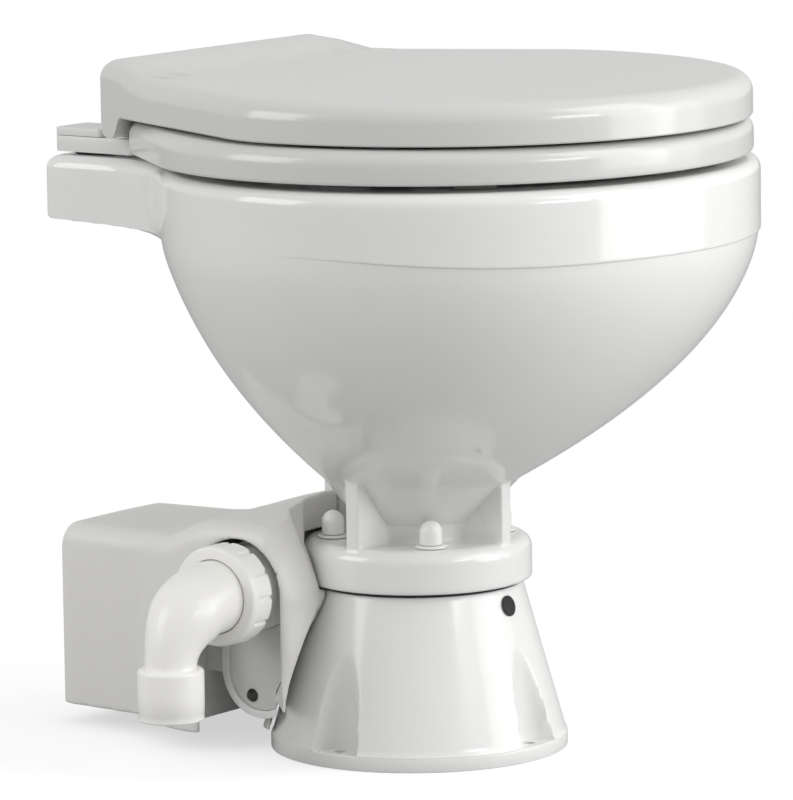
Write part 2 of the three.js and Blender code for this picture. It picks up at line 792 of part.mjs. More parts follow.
// Studs, washers and domed nuts that clamp the bowl to the pedestal
function makeBowlFixings() {
  const washerLow = flangeTop + gap;
  const washerHigh = washerLow + fixingWasherThickness;
  const nutLow = washerHigh + gap;
  const studTop = nutLow + studAboveWasher;
  const studBottom = pedestalHeight - deckThickness - studBelowDeck;
  const domeStart = nutLow + capNutHeight - capNutRadius;
  const dome = [];
  for (let step = 0; step <= roundingSteps; step += 1) {
    const angle = (quarterTurn * step) / roundingSteps;
    dome.push([capNutRadius * Math.cos(angle), domeStart + capNutRadius * Math.sin(angle)]);
  }
  const nutProfile = [
    [studRadius + gap, nutLow], [capNutRadius, nutLow], ...dome,
    [0, studTop + gap], [studRadius + gap, studTop + gap], [studRadius + gap, nutLow],
  ];
  const headTop = pedestalHeight - deckThickness - gap;
  const washerProfile = tubeProfile(fixingWasherRadius, studRadius + gap, washerLow, washerHigh);
  studPlaces().forEach(([x, y], index) => {
    const number = index + 1;
    const atStud = (profile, sides) => solidOf(turnedUp(profile, sides).translate(x, y, 0));
    const head = atStud(rodProfile(studHeadRadius, studBottom, headTop), hexSides);
    const stud = atStud(rodProfile(studRadius, studBottom, studTop), smallSides);
    piece(`bowl_stud_${number}`, stud.add(head), steel);
    piece(`bowl_washer_${number}`, atStud(washerProfile, smallSides), pipeWhite);
    piece(`cap_nut_${number}`, atStud(nutProfile, smallSides), pipeWhite);
  });
}

// Waste sump: catches the bowl outlet and leads to the pump
function makeSump() {
  const top = gasketTop - spigotHeight;
  let body = solidOf(turnedUp([
    [0, 0], [sumpFootRadius, 0], [sumpFootRadius, sumpFootHeight], [sumpStemRadius, sumpFootHeight],
    [sumpStemRadius, sumpFloorHeight - sumpWall * 2], [sumpRadius, sumpFloorHeight],
    [sumpRadius, top], [0, top],
  ], mediumSides));
  body = body.add(aroundMotor(rodProfile(sumpTubeRadius, 0, sumpTubeReach)));
  const well = turnedUp([
    [0, sumpFloorHeight], [throatRadius / 2, sumpFloorHeight], [sumpRadius - sumpWall, motorAxisHeight],
    [sumpRadius - sumpWall, top + overrun], [0, top + overrun],
  ], mediumSides);
  body = body.subtract(solidOf(well));
  const bore = turnedBack(rodProfile(sumpTubeRadius - sumpWall, 0, sumpTubeReach + overrun), mediumSides);
  body = body.subtract(solidOf(alongMotor(bore)));
  piece('waste_sump', body, darkPlastic);
  const seal = turnedUp(
    tubeProfile(sumpRadius - gap, throatRadius + gap, top + gap, gasketTop), mediumSides,
  );
  piece('outlet_seal', solidOf(seal), blackRubber);
}

// Solids of revolution about the motor's axis
function alongMotor(geometry) {
  return geometry.translate(-motorAxisShift, 0, motorAxisHeight);
}

function aroundMotor(profile) {
  return solidOf(alongMotor(turnedBack(profile, mediumSides)));
}

// Pump: a round impeller chamber with a U-shaped discharge chamber at its side
function alongUnion(geometry) {
  return geometry.translate(0, unionReach, unionHeight);
}

function aroundUnion(profile) {
  return solidOf(alongUnion(turnedAcross(profile, mediumSides)));
}

function uPrism(halfWidth, bottom, lowX, highX) {
  const shape = new THREE.Shape();
  shape.absarc(0, unionHeight, halfWidth, 0, halfTurn);
  shape.absarc(0, bottom + halfWidth, halfWidth, halfTurn, fullTurn);
  shape.closePath();
  const prism = extruded(shape, highX - lowX, smallSides);
  return prism.rotateX(quarterTurn).rotateZ(quarterTurn).translate(lowX, unionReach, 0);
}

// Space that the pedestal and the bowl flange take up, grown by a clearance
function footSpace(clearance, top) {
  const radius = flangeRadius + clearance;
  return solidOf(turnedUp([
    [0, -overrun], [footRadius + clearance, -overrun], [footRadius + clearance, footHeight],
    [pedestalTopRadius + clearance, flangeBottom - clearance], [radius, flangeBottom - clearance],
    [radius, top], [0, top],
  ], largeSides));
}

function makePumpHousing() {
  const back = backPlateFront - gap;
  const chamberBack = -chamberFaceReach + chamberDepth;
  let body = aroundMotor(rodProfile(voluteRadius, voluteFrontReach, back));
  body = body.add(solidOf(uPrism(chamberHalfWidth, chamberBottomHeight, -chamberFaceReach, chamberBack)));
  const ductLow = motorAxisHeight - ductHalfHeight;
  const ductHigh = motorAxisHeight + ductHalfHeight;
  body = body.add(solidOf(block(
    -ductOuterReach, -motorAxisShift, unionReach, back, ductLow - voluteWall, unionHeight,
  )));
  body = body.intersect(coverSpace(coverWall + gap));
  const boss = rodProfile(bossRadius, -bossEndReach, -chamberFaceReach + chamberRim);
  body = body.add(aroundUnion(boss));
  body = body.subtract(footSpace(gap * 2, rimTop));
  const neckEnd = voluteFrontReach + voluteWall;
  body = body.add(aroundMotor(rodProfile(pumpNeckRadius, pumpNeckReach, neckEnd)));
  const neckBore = rodProfile(pumpNeckRadius - sumpWall, pumpNeckReach - overrun, neckEnd + overrun);
  body = body.subtract(aroundMotor(neckBore));
  const volute = rodProfile(voluteRadius - voluteWall, neckEnd, back + overrun);
  body = body.subtract(aroundMotor(volute));
  const bore = rodProfile(bossBoreRadius, -bossEndReach - overrun, -ductInnerReach);
  body = body.subtract(aroundUnion(bore));
  const outer = voluteWall - ductOuterReach;
  body = body.subtract(solidOf(block(
    outer, -ductInnerReach, unionReach + voluteWall, back - voluteWall, ductLow, unionHeight - voluteWall,
  )));
  body = body.subtract(solidOf(block(
    outer, -motorAxisShift - voluteRadius / 2, neckEnd + voluteWall, back - voluteWall, ductLow, ductHigh,
  )));
  const pocket = solidOf(uPrism(
    chamberHalfWidth - chamberRim, chamberBottomHeight + chamberRim, -chamberFaceReach - overrun,
    -chamberFaceReach + chamberPocketDepth,
  ));
  const bossKept = rodProfile(bossRadius + gap, -bossEndReach, 0);
  body = body.subtract(pocket.subtract(aroundUnion(bossKept)));
  body = body.subtract(chamberScrewSolid(gap));
  piece('pump_housing', body, moulded);

  const plateLow = -chamberFaceReach + chamberPocketDepth - gap - chamberPlateThickness;
  let plate = solidOf(uPrism(
    chamberHalfWidth - chamberRim - gap, chamberBottomHeight + chamberRim + gap,
    plateLow, plateLow + chamberPlateThickness,
  ));
  const bossSpace = rodProfile(bossRadius + gap * 2, -bossEndReach, 0);
  plate = plate.subtract(aroundUnion(bossSpace)).subtract(footSpace(gap * 2, rimTop));
  plate = plate.subtract(chamberScrewSolid(gap)).intersect(coverSpace(coverWall + gap));
  piece('chamber_plate', plate, satinGrey);
  piece('chamber_screw', chamberScrewSolid(0), darkSteel);
}

function chamberScrewSolid(clearance) {
  const headBack = -chamberFaceReach + chamberPocketDepth - chamberPlateThickness - gap * 2;
  const headFront = headBack - chamberScrewHeadThickness;
  const shankRadius = chamberScrewShankRadius + clearance;
  const shankEnd = headBack + chamberScrewLength + clearance;
  const head = turnedAcross([
    [0, headFront], [chamberScrewRadius / 2 + clearance, headFront],
    [chamberScrewRadius + clearance, headBack], [shankRadius, headBack],
    [shankRadius, shankEnd], [0, shankEnd],
  ], smallSides);
  return solidOf(head.translate(0, unionReach + chamberScrewShift, chamberScrewHeight));
}

// Back plate of the pump: closes the impeller chamber, carries the motor and spans the cover
function makeMotorPlate() {
  const front = backPlateFront;
  const rear = backPlateFront + backPlateThickness;
  const half = coverFrontHalfWidth * 2;
  const slab = block(-half, half, front, rear, coverBottomHeight + coverWall, plateTopHeight);
  let body = coverSpace(coverWall + gap).intersect(solidOf(slab));
  const boss = turnedBack(rodProfile(bearingRadius + motorWall, front, rear + bearingWidth), mediumSides);
  body = body.add(solidOf(alongMotor(boss)));
  const seat = turnedBack(rodProfile(bearingRadius + gap, rear, rear + bearingWidth + overrun), mediumSides);
  body = body.subtract(solidOf(alongMotor(seat)));
  const sealSeat = turnedBack(rodProfile(sealRadius + gap, front - overrun, rear + overrun), mediumSides);
  body = body.subtract(solidOf(alongMotor(sealSeat)));
  piece('motor_plate', body, moulded);
  const seal = tubeProfile(sealRadius, shaftRadius + gap, front - gap, rear - gap);
  piece('shaft_seal', aroundMotor(seal), blackRubber);
  const bearing = tubeProfile(bearingRadius, shaftRadius + gap, rear + gap, rear + bearingWidth - gap);
  piece('bearing_front', aroundMotor(bearing), steel);
}

// Motor: can, magnets, rotor and end cap
function makeMotor() {
  const canEnd = motorFront + motorLength;
  const can = tubeProfile(motorRadius, motorRadius - motorWall, motorFront, canEnd);
  piece('motor_can', aroundMotor(can), darkSteel);

  const capFront = canEnd + gap;
  const capRear = capFront + motorEndThickness;
  const cap = turnedBack([
    [bearingRadius + gap, capFront], [motorRadius, capFront], [motorRadius, capRear - motorEndRounding],
    [motorRadius - motorEndRounding, capRear], [0, capRear], [0, capFront + bearingWidth],
    [bearingRadius + gap, capFront + bearingWidth], [bearingRadius + gap, capFront],
  ], mediumSides);
  piece('motor_end_cap', solidOf(alongMotor(cap)), darkPlastic);
  const bearing = tubeProfile(bearingRadius, shaftRadius + gap, capFront, capFront + bearingWidth - gap);
  piece('bearing_rear', aroundMotor(bearing), steel);

  const magnetOuter = motorRadius - motorWall - magnetClearance;
  const magnetStart = motorFront + bearingWidth + gap;
  const magnetLength = armatureLength + bearingWidth;
  ['left', 'right'].forEach((side, index) => {
    const shape = new THREE.Shape();
    const start = index * halfTurn - magnetSpread / 2;
    shape.absarc(0, 0, magnetOuter, start, start + magnetSpread);
    shape.absarc(0, 0, magnetOuter - magnetThickness, start + magnetSpread, start, true);
    shape.closePath();
    const arc = extruded(shape, magnetLength, smallSides);
    arc.rotateX(-quarterTurn).translate(0, magnetStart, 0);
    piece(`magnet_${side}`, solidOf(alongMotor(arc)), magnetGrey);
  });

  const armatureStart = magnetStart + bearingWidth / 2;
  const armatureEnd = armatureStart + armatureLength;
  const bore = shaftRadius + gap;
  let armature = solidOf(turnedBack(
    tubeProfile(armatureRadius, bore, armatureStart, armatureEnd), mediumSides,
  ));
  const slotWidth = (fullTurn * armatureRadius * armatureSlotShare) / armatureSlots;
  for (let i = 0; i < armatureSlots; i += 1) {
    const slot = block(
      armatureRadius - armatureSlotDepth, armatureRadius + overrun, armatureStart - overrun,
      armatureEnd + overrun, -slotWidth / 2, slotWidth / 2,
    ).rotateY((fullTurn * i) / armatureSlots);
    armature = armature.subtract(solidOf(slot));
  }
  const commutator = tubeProfile(
    commutatorRadius, bore, armatureEnd - overlap, armatureEnd + commutatorLength,
  );
  armature = armature.add(solidOf(turnedBack(commutator, smallSides)));
  piece('armature', armature.translate([-motorAxisShift, 0, motorAxisHeight]), copper);

  const shaftFront = voluteFrontReach + voluteWall + gap;
  const shaft = rodProfile(shaftRadius, shaftFront, capFront + bearingWidth - gap);
  piece('motor_shaft', solidOf(alongMotor(turnedBack(shaft, smallSides))), steel);
}

// Impeller on the shaft, with the cutting blade in front of it
function makeImpeller() {
  const discRear = backPlateFront - gap * 4;
  const discFront = discRear - impellerDiscThickness;
  const vaneFront = discFront - impellerDepth;
  let body = solidOf(turnedBack(rodProfile(impellerRadius, discFront, discRear), mediumSides));
  const hub = rodProfile(impellerHubRadius, vaneFront, discFront + overlap);
  body = body.add(solidOf(turnedBack(hub, smallSides)));
  for (let i = 0; i < impellerVanes; i += 1) {
    const vane = block(
      impellerHubRadius - overlap, impellerRadius, vaneFront, discFront + overlap,
      -impellerVaneThickness / 2, impellerVaneThickness / 2,
    ).rotateY((fullTurn * i) / impellerVanes);
    body = body.add(solidOf(vane));
  }
  const bore = rodProfile(shaftRadius + gap, vaneFront - overrun, discRear + overrun);
  body = body.subtract(solidOf(turnedBack(bore, smallSides)));
  piece('impeller', body.translate([-motorAxisShift, 0, motorAxisHeight]), pipeWhite);
  const bladeRear = vaneFront - gap;
  const blade = roundedPlate(
    -bladeLength / 2, bladeLength / 2, -bladeWidth / 2, bladeWidth / 2, 0, bladeThickness, bladeWidth / 3,
  ).rotateX(quarterTurn).translate(0, bladeRear, 0);
  const hole = turnedBack(
    rodProfile(shaftRadius + gap, bladeRear - bladeThickness * 2, bladeRear + overrun), smallSides,
  );
  const cut = solidOf(blade).subtract(solidOf(hole));
  piece('macerator_blade', cut.translate([-motorAxisShift, 0, motorAxisHeight]), steel);
}

// Union nut, one-way valve and discharge elbow
function makeUnion() {
  const faceX = -nutFaceReach;
  let nut = solidOf(turnedAcross([
    [spigotRadius + gap, faceX], [nutRadius - nutFaceRounding, faceX], [nutRadius, faceX + nutFaceRounding],
    [nutRadius, faceX + nutDepth], [bossRadius + gap, faceX + nutDepth],
    [bossRadius + gap, faceX + nutFaceThickness], [spigotRadius + gap, faceX + nutFaceThickness],
    [spigotRadius + gap, faceX],
  ], nutRidges * 3));
  const grooveWidth = ((fullTurn * nutRadius) / nutRidges) * nutGrooveShare;
  for (let i = 0; i < nutRidges; i += 1) {
    const groove = block(
      faceX + nutFaceThickness * 2, faceX + nutDepth + overrun, -grooveWidth / 2, grooveWidth / 2,
      nutRadius - nutGrooveDepth, nutRadius + overrun,
    ).rotateX((fullTurn * (i + 1 / 2)) / nutRidges);
    nut = nut.subtract(solidOf(groove));
  }
  piece('union_nut', nut.translate([0, unionReach, unionHeight]), nutGrey);

  const elbowBack = faceX + nutFaceThickness + gap + elbowFlangeThickness;
  const valveFront = elbowBack + gap;
  const valveBack = -bossEndReach - gap;
  const tip = valveBack + valveLength;
  const valve = turnedAcross([
    [bossBoreRadius - gap - valveWall, valveFront], [bossRadius - gap, valveFront],
    [bossRadius - gap, valveBack], [bossBoreRadius - gap, valveBack], [valveTipRadius, tip],
    [valveTipRadius - valveWall, tip], [bossBoreRadius - gap - valveWall, valveBack],
    [bossBoreRadius - gap - valveWall, valveFront],
  ], mediumSides);
  piece('joker_valve', solidOf(alongUnion(valve)), blackRubber);
  makeElbow(faceX + nutFaceThickness + gap, elbowBack);
}

// Centres and radii of the elbow from its flange, round the bend and down to the collar
function elbowPath() {
  const bendRadius = legReach - bendStartReach;
  const stops = [];
  for (let step = 0; step <= bendSteps; step += 1) {
    const share = step / bendSteps;
    const angle = quarterTurn * share;
    const x = -bendStartReach - bendRadius * Math.sin(angle);
    const z = unionHeight - bendRadius * (1 - Math.cos(angle));
    const narrowing = smoothStep(taperStartShare, taperEndShare, share);
    stops.push({ x, z, angle, radius: mix(spigotRadius, legRadius, narrowing) });
  }
  return stops;
}

function pipeRing(x, z, angle, radius) {
  const ring = [];
  for (let i = 0; i < mediumSides; i += 1) {
    const turn = (fullTurn * i) / mediumSides;
    const out = radius * Math.cos(turn);
    const y = radius * Math.sin(turn);
    ring.push(new THREE.Vector3(x - out * Math.sin(angle), y, z + out * Math.cos(angle)));
  }
  return ring;
}

function makeElbow(flangeFront, flangeBack) {
  const stops = elbowPath();
  const last = stops[stops.length - 1];
  const collarTop = legEndHeight + collarHeight;
  const socketTop = legEndHeight + collarSocketDepth;
  const outer = [pipeRing(flangeBack, unionHeight, 0, spigotRadius)];
  stops.forEach((stop) => outer.push(pipeRing(stop.x, stop.z, stop.angle, stop.radius)));
  outer.push(pipeRing(last.x, collarTop - overrun, last.angle, last.radius));
  let body = solidOf(loft(outer));
  const flange = turnedAcross(rodProfile(bossRadius - gap, flangeFront, flangeBack), mediumSides)
    .translate(0, 0, unionHeight);
  body = body.add(solidOf(flange));
  const collar = turnedUp([
    [0, legEndHeight], [collarRadius, legEndHeight], [collarRadius, collarTop - collarEdge],
    [collarRadius - collarEdge, collarTop], [0, collarTop],
  ], mediumSides).translate(-legReach, 0, 0);
  body = body.add(solidOf(collar));
  const inner = [pipeRing(flangeBack + overrun, unionHeight, 0, spigotRadius - elbowWall)];
  stops.forEach((stop) => inner.push(pipeRing(stop.x, stop.z, stop.angle, stop.radius - elbowWall)));
  inner.push(pipeRing(last.x, socketTop - overrun, last.angle, last.radius - elbowWall));
  body = body.subtract(solidOf(loft(inner)));
  const socket = turnedUp(rodProfile(legRadius + gap, legEndHeight - overrun, socketTop), mediumSides);
  body = body.subtract(solidOf(socket.translate(-legReach, 0, 0)));
  piece('discharge_elbow', body.translate([0, unionReach, 0]), pipeWhite);
}

// Motor cover: cross-sections along Y, trimmed in front by upright sections
function coverSectionRing(reach, halfWidth, edgeTop, crest, rounding, low) {
  const left = [];
  left.push([-halfWidth, low]);
  for (let step = 0; step <= roundingSteps; step += 1) {
    const angle = (quarterTurn * step) / roundingSteps;
    left.push([-halfWidth + rounding * (1 - Math.cos(angle)), edgeTop - rounding * (1 - Math.sin(angle))]);
  }
  const inside = halfWidth - rounding;
  left.push([-inside * coverCrownShare, mix(edgeTop, crest, coverCrownRiseShare)]);
  const right = left.slice().reverse().map(([x, z]) => [-x, z]);
  return [...left, [0, crest], ...right].map(([x, z]) => new THREE.Vector3(x - coverMiddleShift, reach, z));
}

function coverSpace(inset) {
  const low = coverBottomHeight - (inset > 0 ? overrun : 0);
  const lengthwise = coverSections.map(([reach, halfWidth, edgeTop, crest]) => coverSectionRing(
    reach, halfWidth - inset, edgeTop - inset, crest - inset, coverTopRounding - inset, low,
  ));
  const [rearReach, rearHalfWidth, rearEdgeTop, rearCrest] = coverSections[coverSections.length - 1];
  for (let step = 1; step <= roundingSteps; step += 1) {
    const angle = (quarterTurn * step) / roundingSteps;
    const rounding = coverTopRounding - inset;
    const drop = inset + rounding * (1 - Math.cos(angle));
    lengthwise.push(coverSectionRing(
      rearReach + rounding * Math.sin(angle), rearHalfWidth - drop, rearEdgeTop - drop, rearCrest - drop,
      rounding, low,
    ));
  }
  const upright = coverFrontSections.map(([height, width, depth, cornerReach, foldReach]) => {
    const half = coverFrontHalfWidth - inset;
    const cornerWidth = Math.max(width - inset, gap);
    const cornerDepth = Math.max(depth - inset, gap);
    const left = [[-half, coverRearReach + overrun]];
    for (let step = 0; step <= roundingSteps; step += 1) {
      const angle = (quarterTurn * step) / roundingSteps;
      const x = cornerWidth * (1 - Math.cos(angle)) - half;
      left.push([x, cornerReach + inset + cornerDepth * (1 - Math.sin(angle))]);
    }
    left.push([-coverFoldHalfWidth, foldReach + inset]);
    const right = left.slice().reverse().map(([x, y]) => [-x, y]);
    return [...left, ...right].map(([x, y]) => new THREE.Vector3(x - coverMiddleShift, y, height));
  });
  return solidOf(loft(lengthwise)).intersect(solidOf(loft(upright)));
}

// Room round the bowl's neck and its rear rib, above the flange
function hoodRoom(extra) {
  const low = flangeTop + coverClearance;
  const half = hoodRoomHalfWidth + extra;
  const slot = ribThickness / 2 + coverClearance + extra;
  const room = solidOf(roundedPlate(
    -half, half, -footRadius, hoodRoomReach + extra, low, rimTop, hoodRoomRounding + extra,
  ));
  return room.add(solidOf(block(-slot, slot, 0, ribReach + coverClearance + extra, low, rimTop)));
}

function makeCover() {
  const outer = coverSpace(0);
  let body = outer.subtract(coverSpace(coverWall)).add(outer.intersect(hoodRoom(coverWall)));
  body = body.subtract(hoodRoom(0)).subtract(footSpace(coverClearance, flangeTop + coverClearance));
  const outside = -coverMiddleShift - coverFrontHalfWidth - overrun;
  const inside = -coverMiddleShift - coverFrontHalfWidth + archDepth;
  const arch = new THREE.Shape();
  arch.absarc(unionReach, unionHeight, archRadius, 0, halfTurn);
  arch.lineTo(unionReach - archRadius, coverBottomHeight - overrun);
  arch.lineTo(unionReach + archRadius, coverBottomHeight - overrun);
  arch.closePath();
  const opening = extruded(arch, inside - outside, smallSides);
  opening.rotateX(quarterTurn).rotateZ(quarterTurn).translate(outside, 0, 0);
  body = body.subtract(solidOf(opening));
  body = body.subtract(solidOf(block(
    outside, -coverMiddleShift, 0, unionReach, coverBottomHeight - overrun, coverFrontFootHeight,
  )));
  piece('motor_cover', body, satinGrey);
}

// Angle on an oval where a line from a corner behind it touches it
function touchAngle(halfWidth, rear, cornerX, cornerY) {
  const across = cornerX / halfWidth;
  const back = (cornerY + ringShift) / rear;
  return Math.atan2(back, across) - Math.acos(1 / Math.hypot(across, back));
}

// Seat and lid share one plan: an oval with straight sides that run to a tab at the rear for the hinges
function planHalf(plan, inset) {
  const halfWidth = plan.halfWidth - inset;
  const front = plan.frontLength - inset;
  const rear = plan.rearLength - inset;
  const first = touchAngle(plan.halfWidth, plan.rearLength, plan.tabHalfWidth, plan.tabReach);
  const lean = Math.atan2(plan.halfWidth * Math.sin(first), plan.rearLength * Math.cos(first));
  const tab = plan.tabHalfWidth - inset * Math.tan((quarterTurn - lean) / 2);
  const reach = plan.tabReach - inset;
  const points = [];
  for (let step = 0; step <= planFrontSteps; step += 1) {
    const angle = -quarterTurn + (quarterTurn * step) / planFrontSteps;
    points.push([halfWidth * Math.cos(angle), front * Math.sin(angle) - ringShift]);
  }
  const touch = touchAngle(halfWidth, rear, tab, reach);
  for (let step = 1; step <= planRearSteps; step += 1) {
    const angle = (touch * step) / planRearSteps;
    points.push([halfWidth * Math.cos(angle), rear * Math.sin(angle) - ringShift]);
  }
  const [sideX, sideY] = points[points.length - 1];
  const sideShare = plan.cornerRounding / Math.hypot(sideX - tab, reach - sideY);
  for (let step = 0; step <= roundingSteps; step += 1) {
    const share = step / roundingSteps;
    const x = mix(mix(tab, sideX, sideShare), tab, share);
    const y = mix(mix(reach, sideY, sideShare), reach, share);
    points.push([mix(x, mix(tab, tab - plan.cornerRounding, share), share), mix(y, reach, share)]);
  }
  return points;
}

function planRing(plan, inset, heightAt) {
  const right = planHalf(plan, inset);
  const left = right.slice(1).reverse().map(([x, y]) => [-x, y]);
  return [...right, ...left].map(([x, y]) => new THREE.Vector3(x, y, heightAt(y)));
}

function slabRings(plan, inset, bottomHeight, topHeightAt, rounding, softening, topRings) {
  const rings = [planRing(plan, inset + softening, () => bottomHeight)];
  rings.push(planRing(plan, inset, () => bottomHeight + softening));
  for (let step = 0; step <= roundingSteps; step += 1) {
    const angle = (quarterTurn * step) / roundingSteps;
    const drop = rounding * (1 - Math.sin(angle));
    rings.push(planRing(plan, inset + rounding * (1 - Math.cos(angle)), (y) => topHeightAt(y) - drop));
  }
  for (let step = 1; step <= topRings; step += 1) {
    rings.push(planRing(plan, inset + rounding + (lidRiseLength * step) / topRings, topHeightAt));
  }
  return rings;
}

function lidTopAt(y) {
  return lidTop + lidRise * smoothStep(lidTabReach - lidRiseLength, lidTabReach - lidRounding, y);
}

function alongHinge(geometry) {
  return geometry.translate(0, hingeReach, hingeHeight);
}

function hingeMiddle() {
  return (blockOuterReach + blockInnerReach) / 2;
}

// Lug in a plane across the hinge axis, between two distances from the middle plane
function acrossHinge(shape, side, near, far) {
  const lug = extruded(shape, far - near, smallSides / 2);
  lug.rotateX(quarterTurn).rotateZ(quarterTurn);
  return alongHinge(lug.translate(side > 0 ? near : -far, 0, 0));
}

function makeLid() {
  let body = solidOf(loft(slabRings(
    lidPlan, 0, lidBottom, lidTopAt, lidRounding, lidSoftening, lidRiseRings,
  )));
  const hollow = slabRings(
    lidPlan, lidWall, lidBottom - overrun, (y) => lidTopAt(y) - lidWall, lidRounding - lidWall, lidSoftening,
    lidRiseRings,
  );
  body = body.subtract(solidOf(loft(hollow)));
  const outline = solidOf(loft([
    planRing(lidPlan, 0, () => hingeHeight - lugDrop - overrun),
    planRing(lidPlan, 0, () => hingeHeight + lidWall * 2 + overrun),
  ]));
  const lug = new THREE.Shape();
  const rear = lidTabReach - hingeReach;
  lug.moveTo(-lugBeforeHinge, lidWall * 2);
  lug.lineTo(-lugBeforeHinge, hingeBelowLid);
  lug.bezierCurveTo(
    -lugWaistBeforeHinge, 0, -lugWaistBeforeHinge, -lugDrop, -lugBottomBeforeHinge, -lugDrop,
  );
  lug.quadraticCurveTo(rear, -lugDrop, rear, lugRounding - lugDrop);
  lug.lineTo(rear, lidWall * 2);
  lug.closePath();
  for (const side of [-1, 1]) {
    const notch = block(
      Math.min(side * seatLugInner, side * lidLugInner), Math.max(side * seatLugInner, side * lidLugInner),
      notchFrontReach, lidTabReach + overrun, lidBottom - overrun * 3, hingeHeight + notchRise,
    );
    body = body.subtract(solidOf(notch));
    body = body.add(solidOf(acrossHinge(lug, side, lidLugInner, lidHalfWidth)).intersect(outline));
    const pad = new THREE.CylinderGeometry(padRadius, padRadius, 1, smallSides).rotateX(quarterTurn);
    const [x, y] = lidPadPlace(side);
    const top = lidTop - lidWall + overlap;
    const low = seatTop + padThickness + gap * 2;
    pad.scale(1, 1, top - low).translate(x, y, (top + low) / 2);
    body = body.add(solidOf(pad));
    const hole = turnedAcross(rodProfile(
      pinRadius + gap, Math.min(side * seatLugInner, side * (pinOuter + gap)),
      Math.max(side * seatLugInner, side * (pinOuter + gap)),
    ), smallSides);
    body = body.subtract(solidOf(alongHinge(hole)));
  }
  piece('lid', body, moulded);
  for (const side of [-1, 1]) {
    const [x, y] = lidPadPlace(side);
    const low = seatTop + gap;
    const pad = turnedUp(rodProfile(padRadius, low, low + padThickness), smallSides).translate(x, y, 0);
    piece(`lid_bumper_${sideName(side)}`, solidOf(pad), blackRubber);
  }
}

function sideName(side) {
  return side > 0 ? 'left' : 'right';
}

function lidPadPlace(side) {
  const angle = -quarterTurn + side * quarterTurn * lidPadShare;
  const inset = (seatHalfWidth - seatHoleHalfWidth) / 2;
  return [
    (seatHalfWidth - inset) * Math.cos(angle), -ringShift + (seatFrontLength - inset) * Math.sin(angle),
  ];
}

function makeSeat() {
  let body = solidOf(loft(slabRings(
    seatPlan, 0, seatBottom, () => seatTop, seatRounding, seatSoftening, 0,
  )));
  const hole = [];
  const holeRing = (extra, height) => {
    const ring = [];
    for (let i = 0; i < largeSides; i += 1) {
      const angle = (fullTurn * i) / largeSides;
      const length = (Math.sin(angle) > 0 ? seatHoleRearLength : seatHoleFrontLength) + extra;
      const x = (seatHoleHalfWidth + extra) * Math.cos(angle);
      ring.push(new THREE.Vector3(x, -ringShift + length * Math.sin(angle), height));
    }
    hole.push(ring);
  };
  holeRing(seatSoftening * 2, seatBottom - overrun);
  holeRing(0, seatBottom + seatSoftening);
  for (let step = 0; step <= roundingSteps; step += 1) {
    const angle = (quarterTurn * step) / roundingSteps;
    holeRing(seatRounding * (1 - Math.cos(angle)), seatTop - seatRounding * (1 - Math.sin(angle)));
  }
  holeRing(seatRounding, seatTop + overrun);
  body = body.subtract(solidOf(loft(hole)));
  const arm = new THREE.Shape();
  const start = seatTabReach - seatArmRoot - hingeReach;
  arm.moveTo(start, seatArmLow - hingeHeight);
  arm.lineTo(0, -seatBossRadius);
  arm.absarc(0, 0, seatBossRadius, -quarterTurn, quarterTurn);
  arm.lineTo(start, seatTop - seatRounding / 2 - hingeHeight);
  arm.closePath();
  for (const side of [-1, 1]) {
    body = body.add(solidOf(acrossHinge(arm, side, seatLugInner, seatLugOuter)));
    const hole = turnedAcross(rodProfile(
      pinRadius + gap, Math.min(side * (seatLugInner - overrun), side * (seatLugOuter + overrun)),
      Math.max(side * (seatLugInner - overrun), side * (seatLugOuter + overrun)),
    ), smallSides);
    body = body.subtract(solidOf(alongHinge(hole)));
  }
  piece('seat', body, moulded);
  seatPadTurns.forEach((turn, index) => {
    const angle = THREE.MathUtils.degToRad(turn);
    const inset = seatPadInset;
    const x = (seatHalfWidth - inset) * Math.cos(angle);
    const y = -ringShift + (seatFrontLength - inset) * Math.sin(angle);
    const high = seatBottom - gap;
    const pad = roundedPlate(
      -padWidth / 2, padWidth / 2, -padLength / 2, padLength / 2, high - padThickness, high, padWidth / 3,
    ).rotateZ(angle).translate(x, y, 0);
    piece(`seat_bumper_${index + 1}`, solidOf(pad), blackRubber);
  });
}

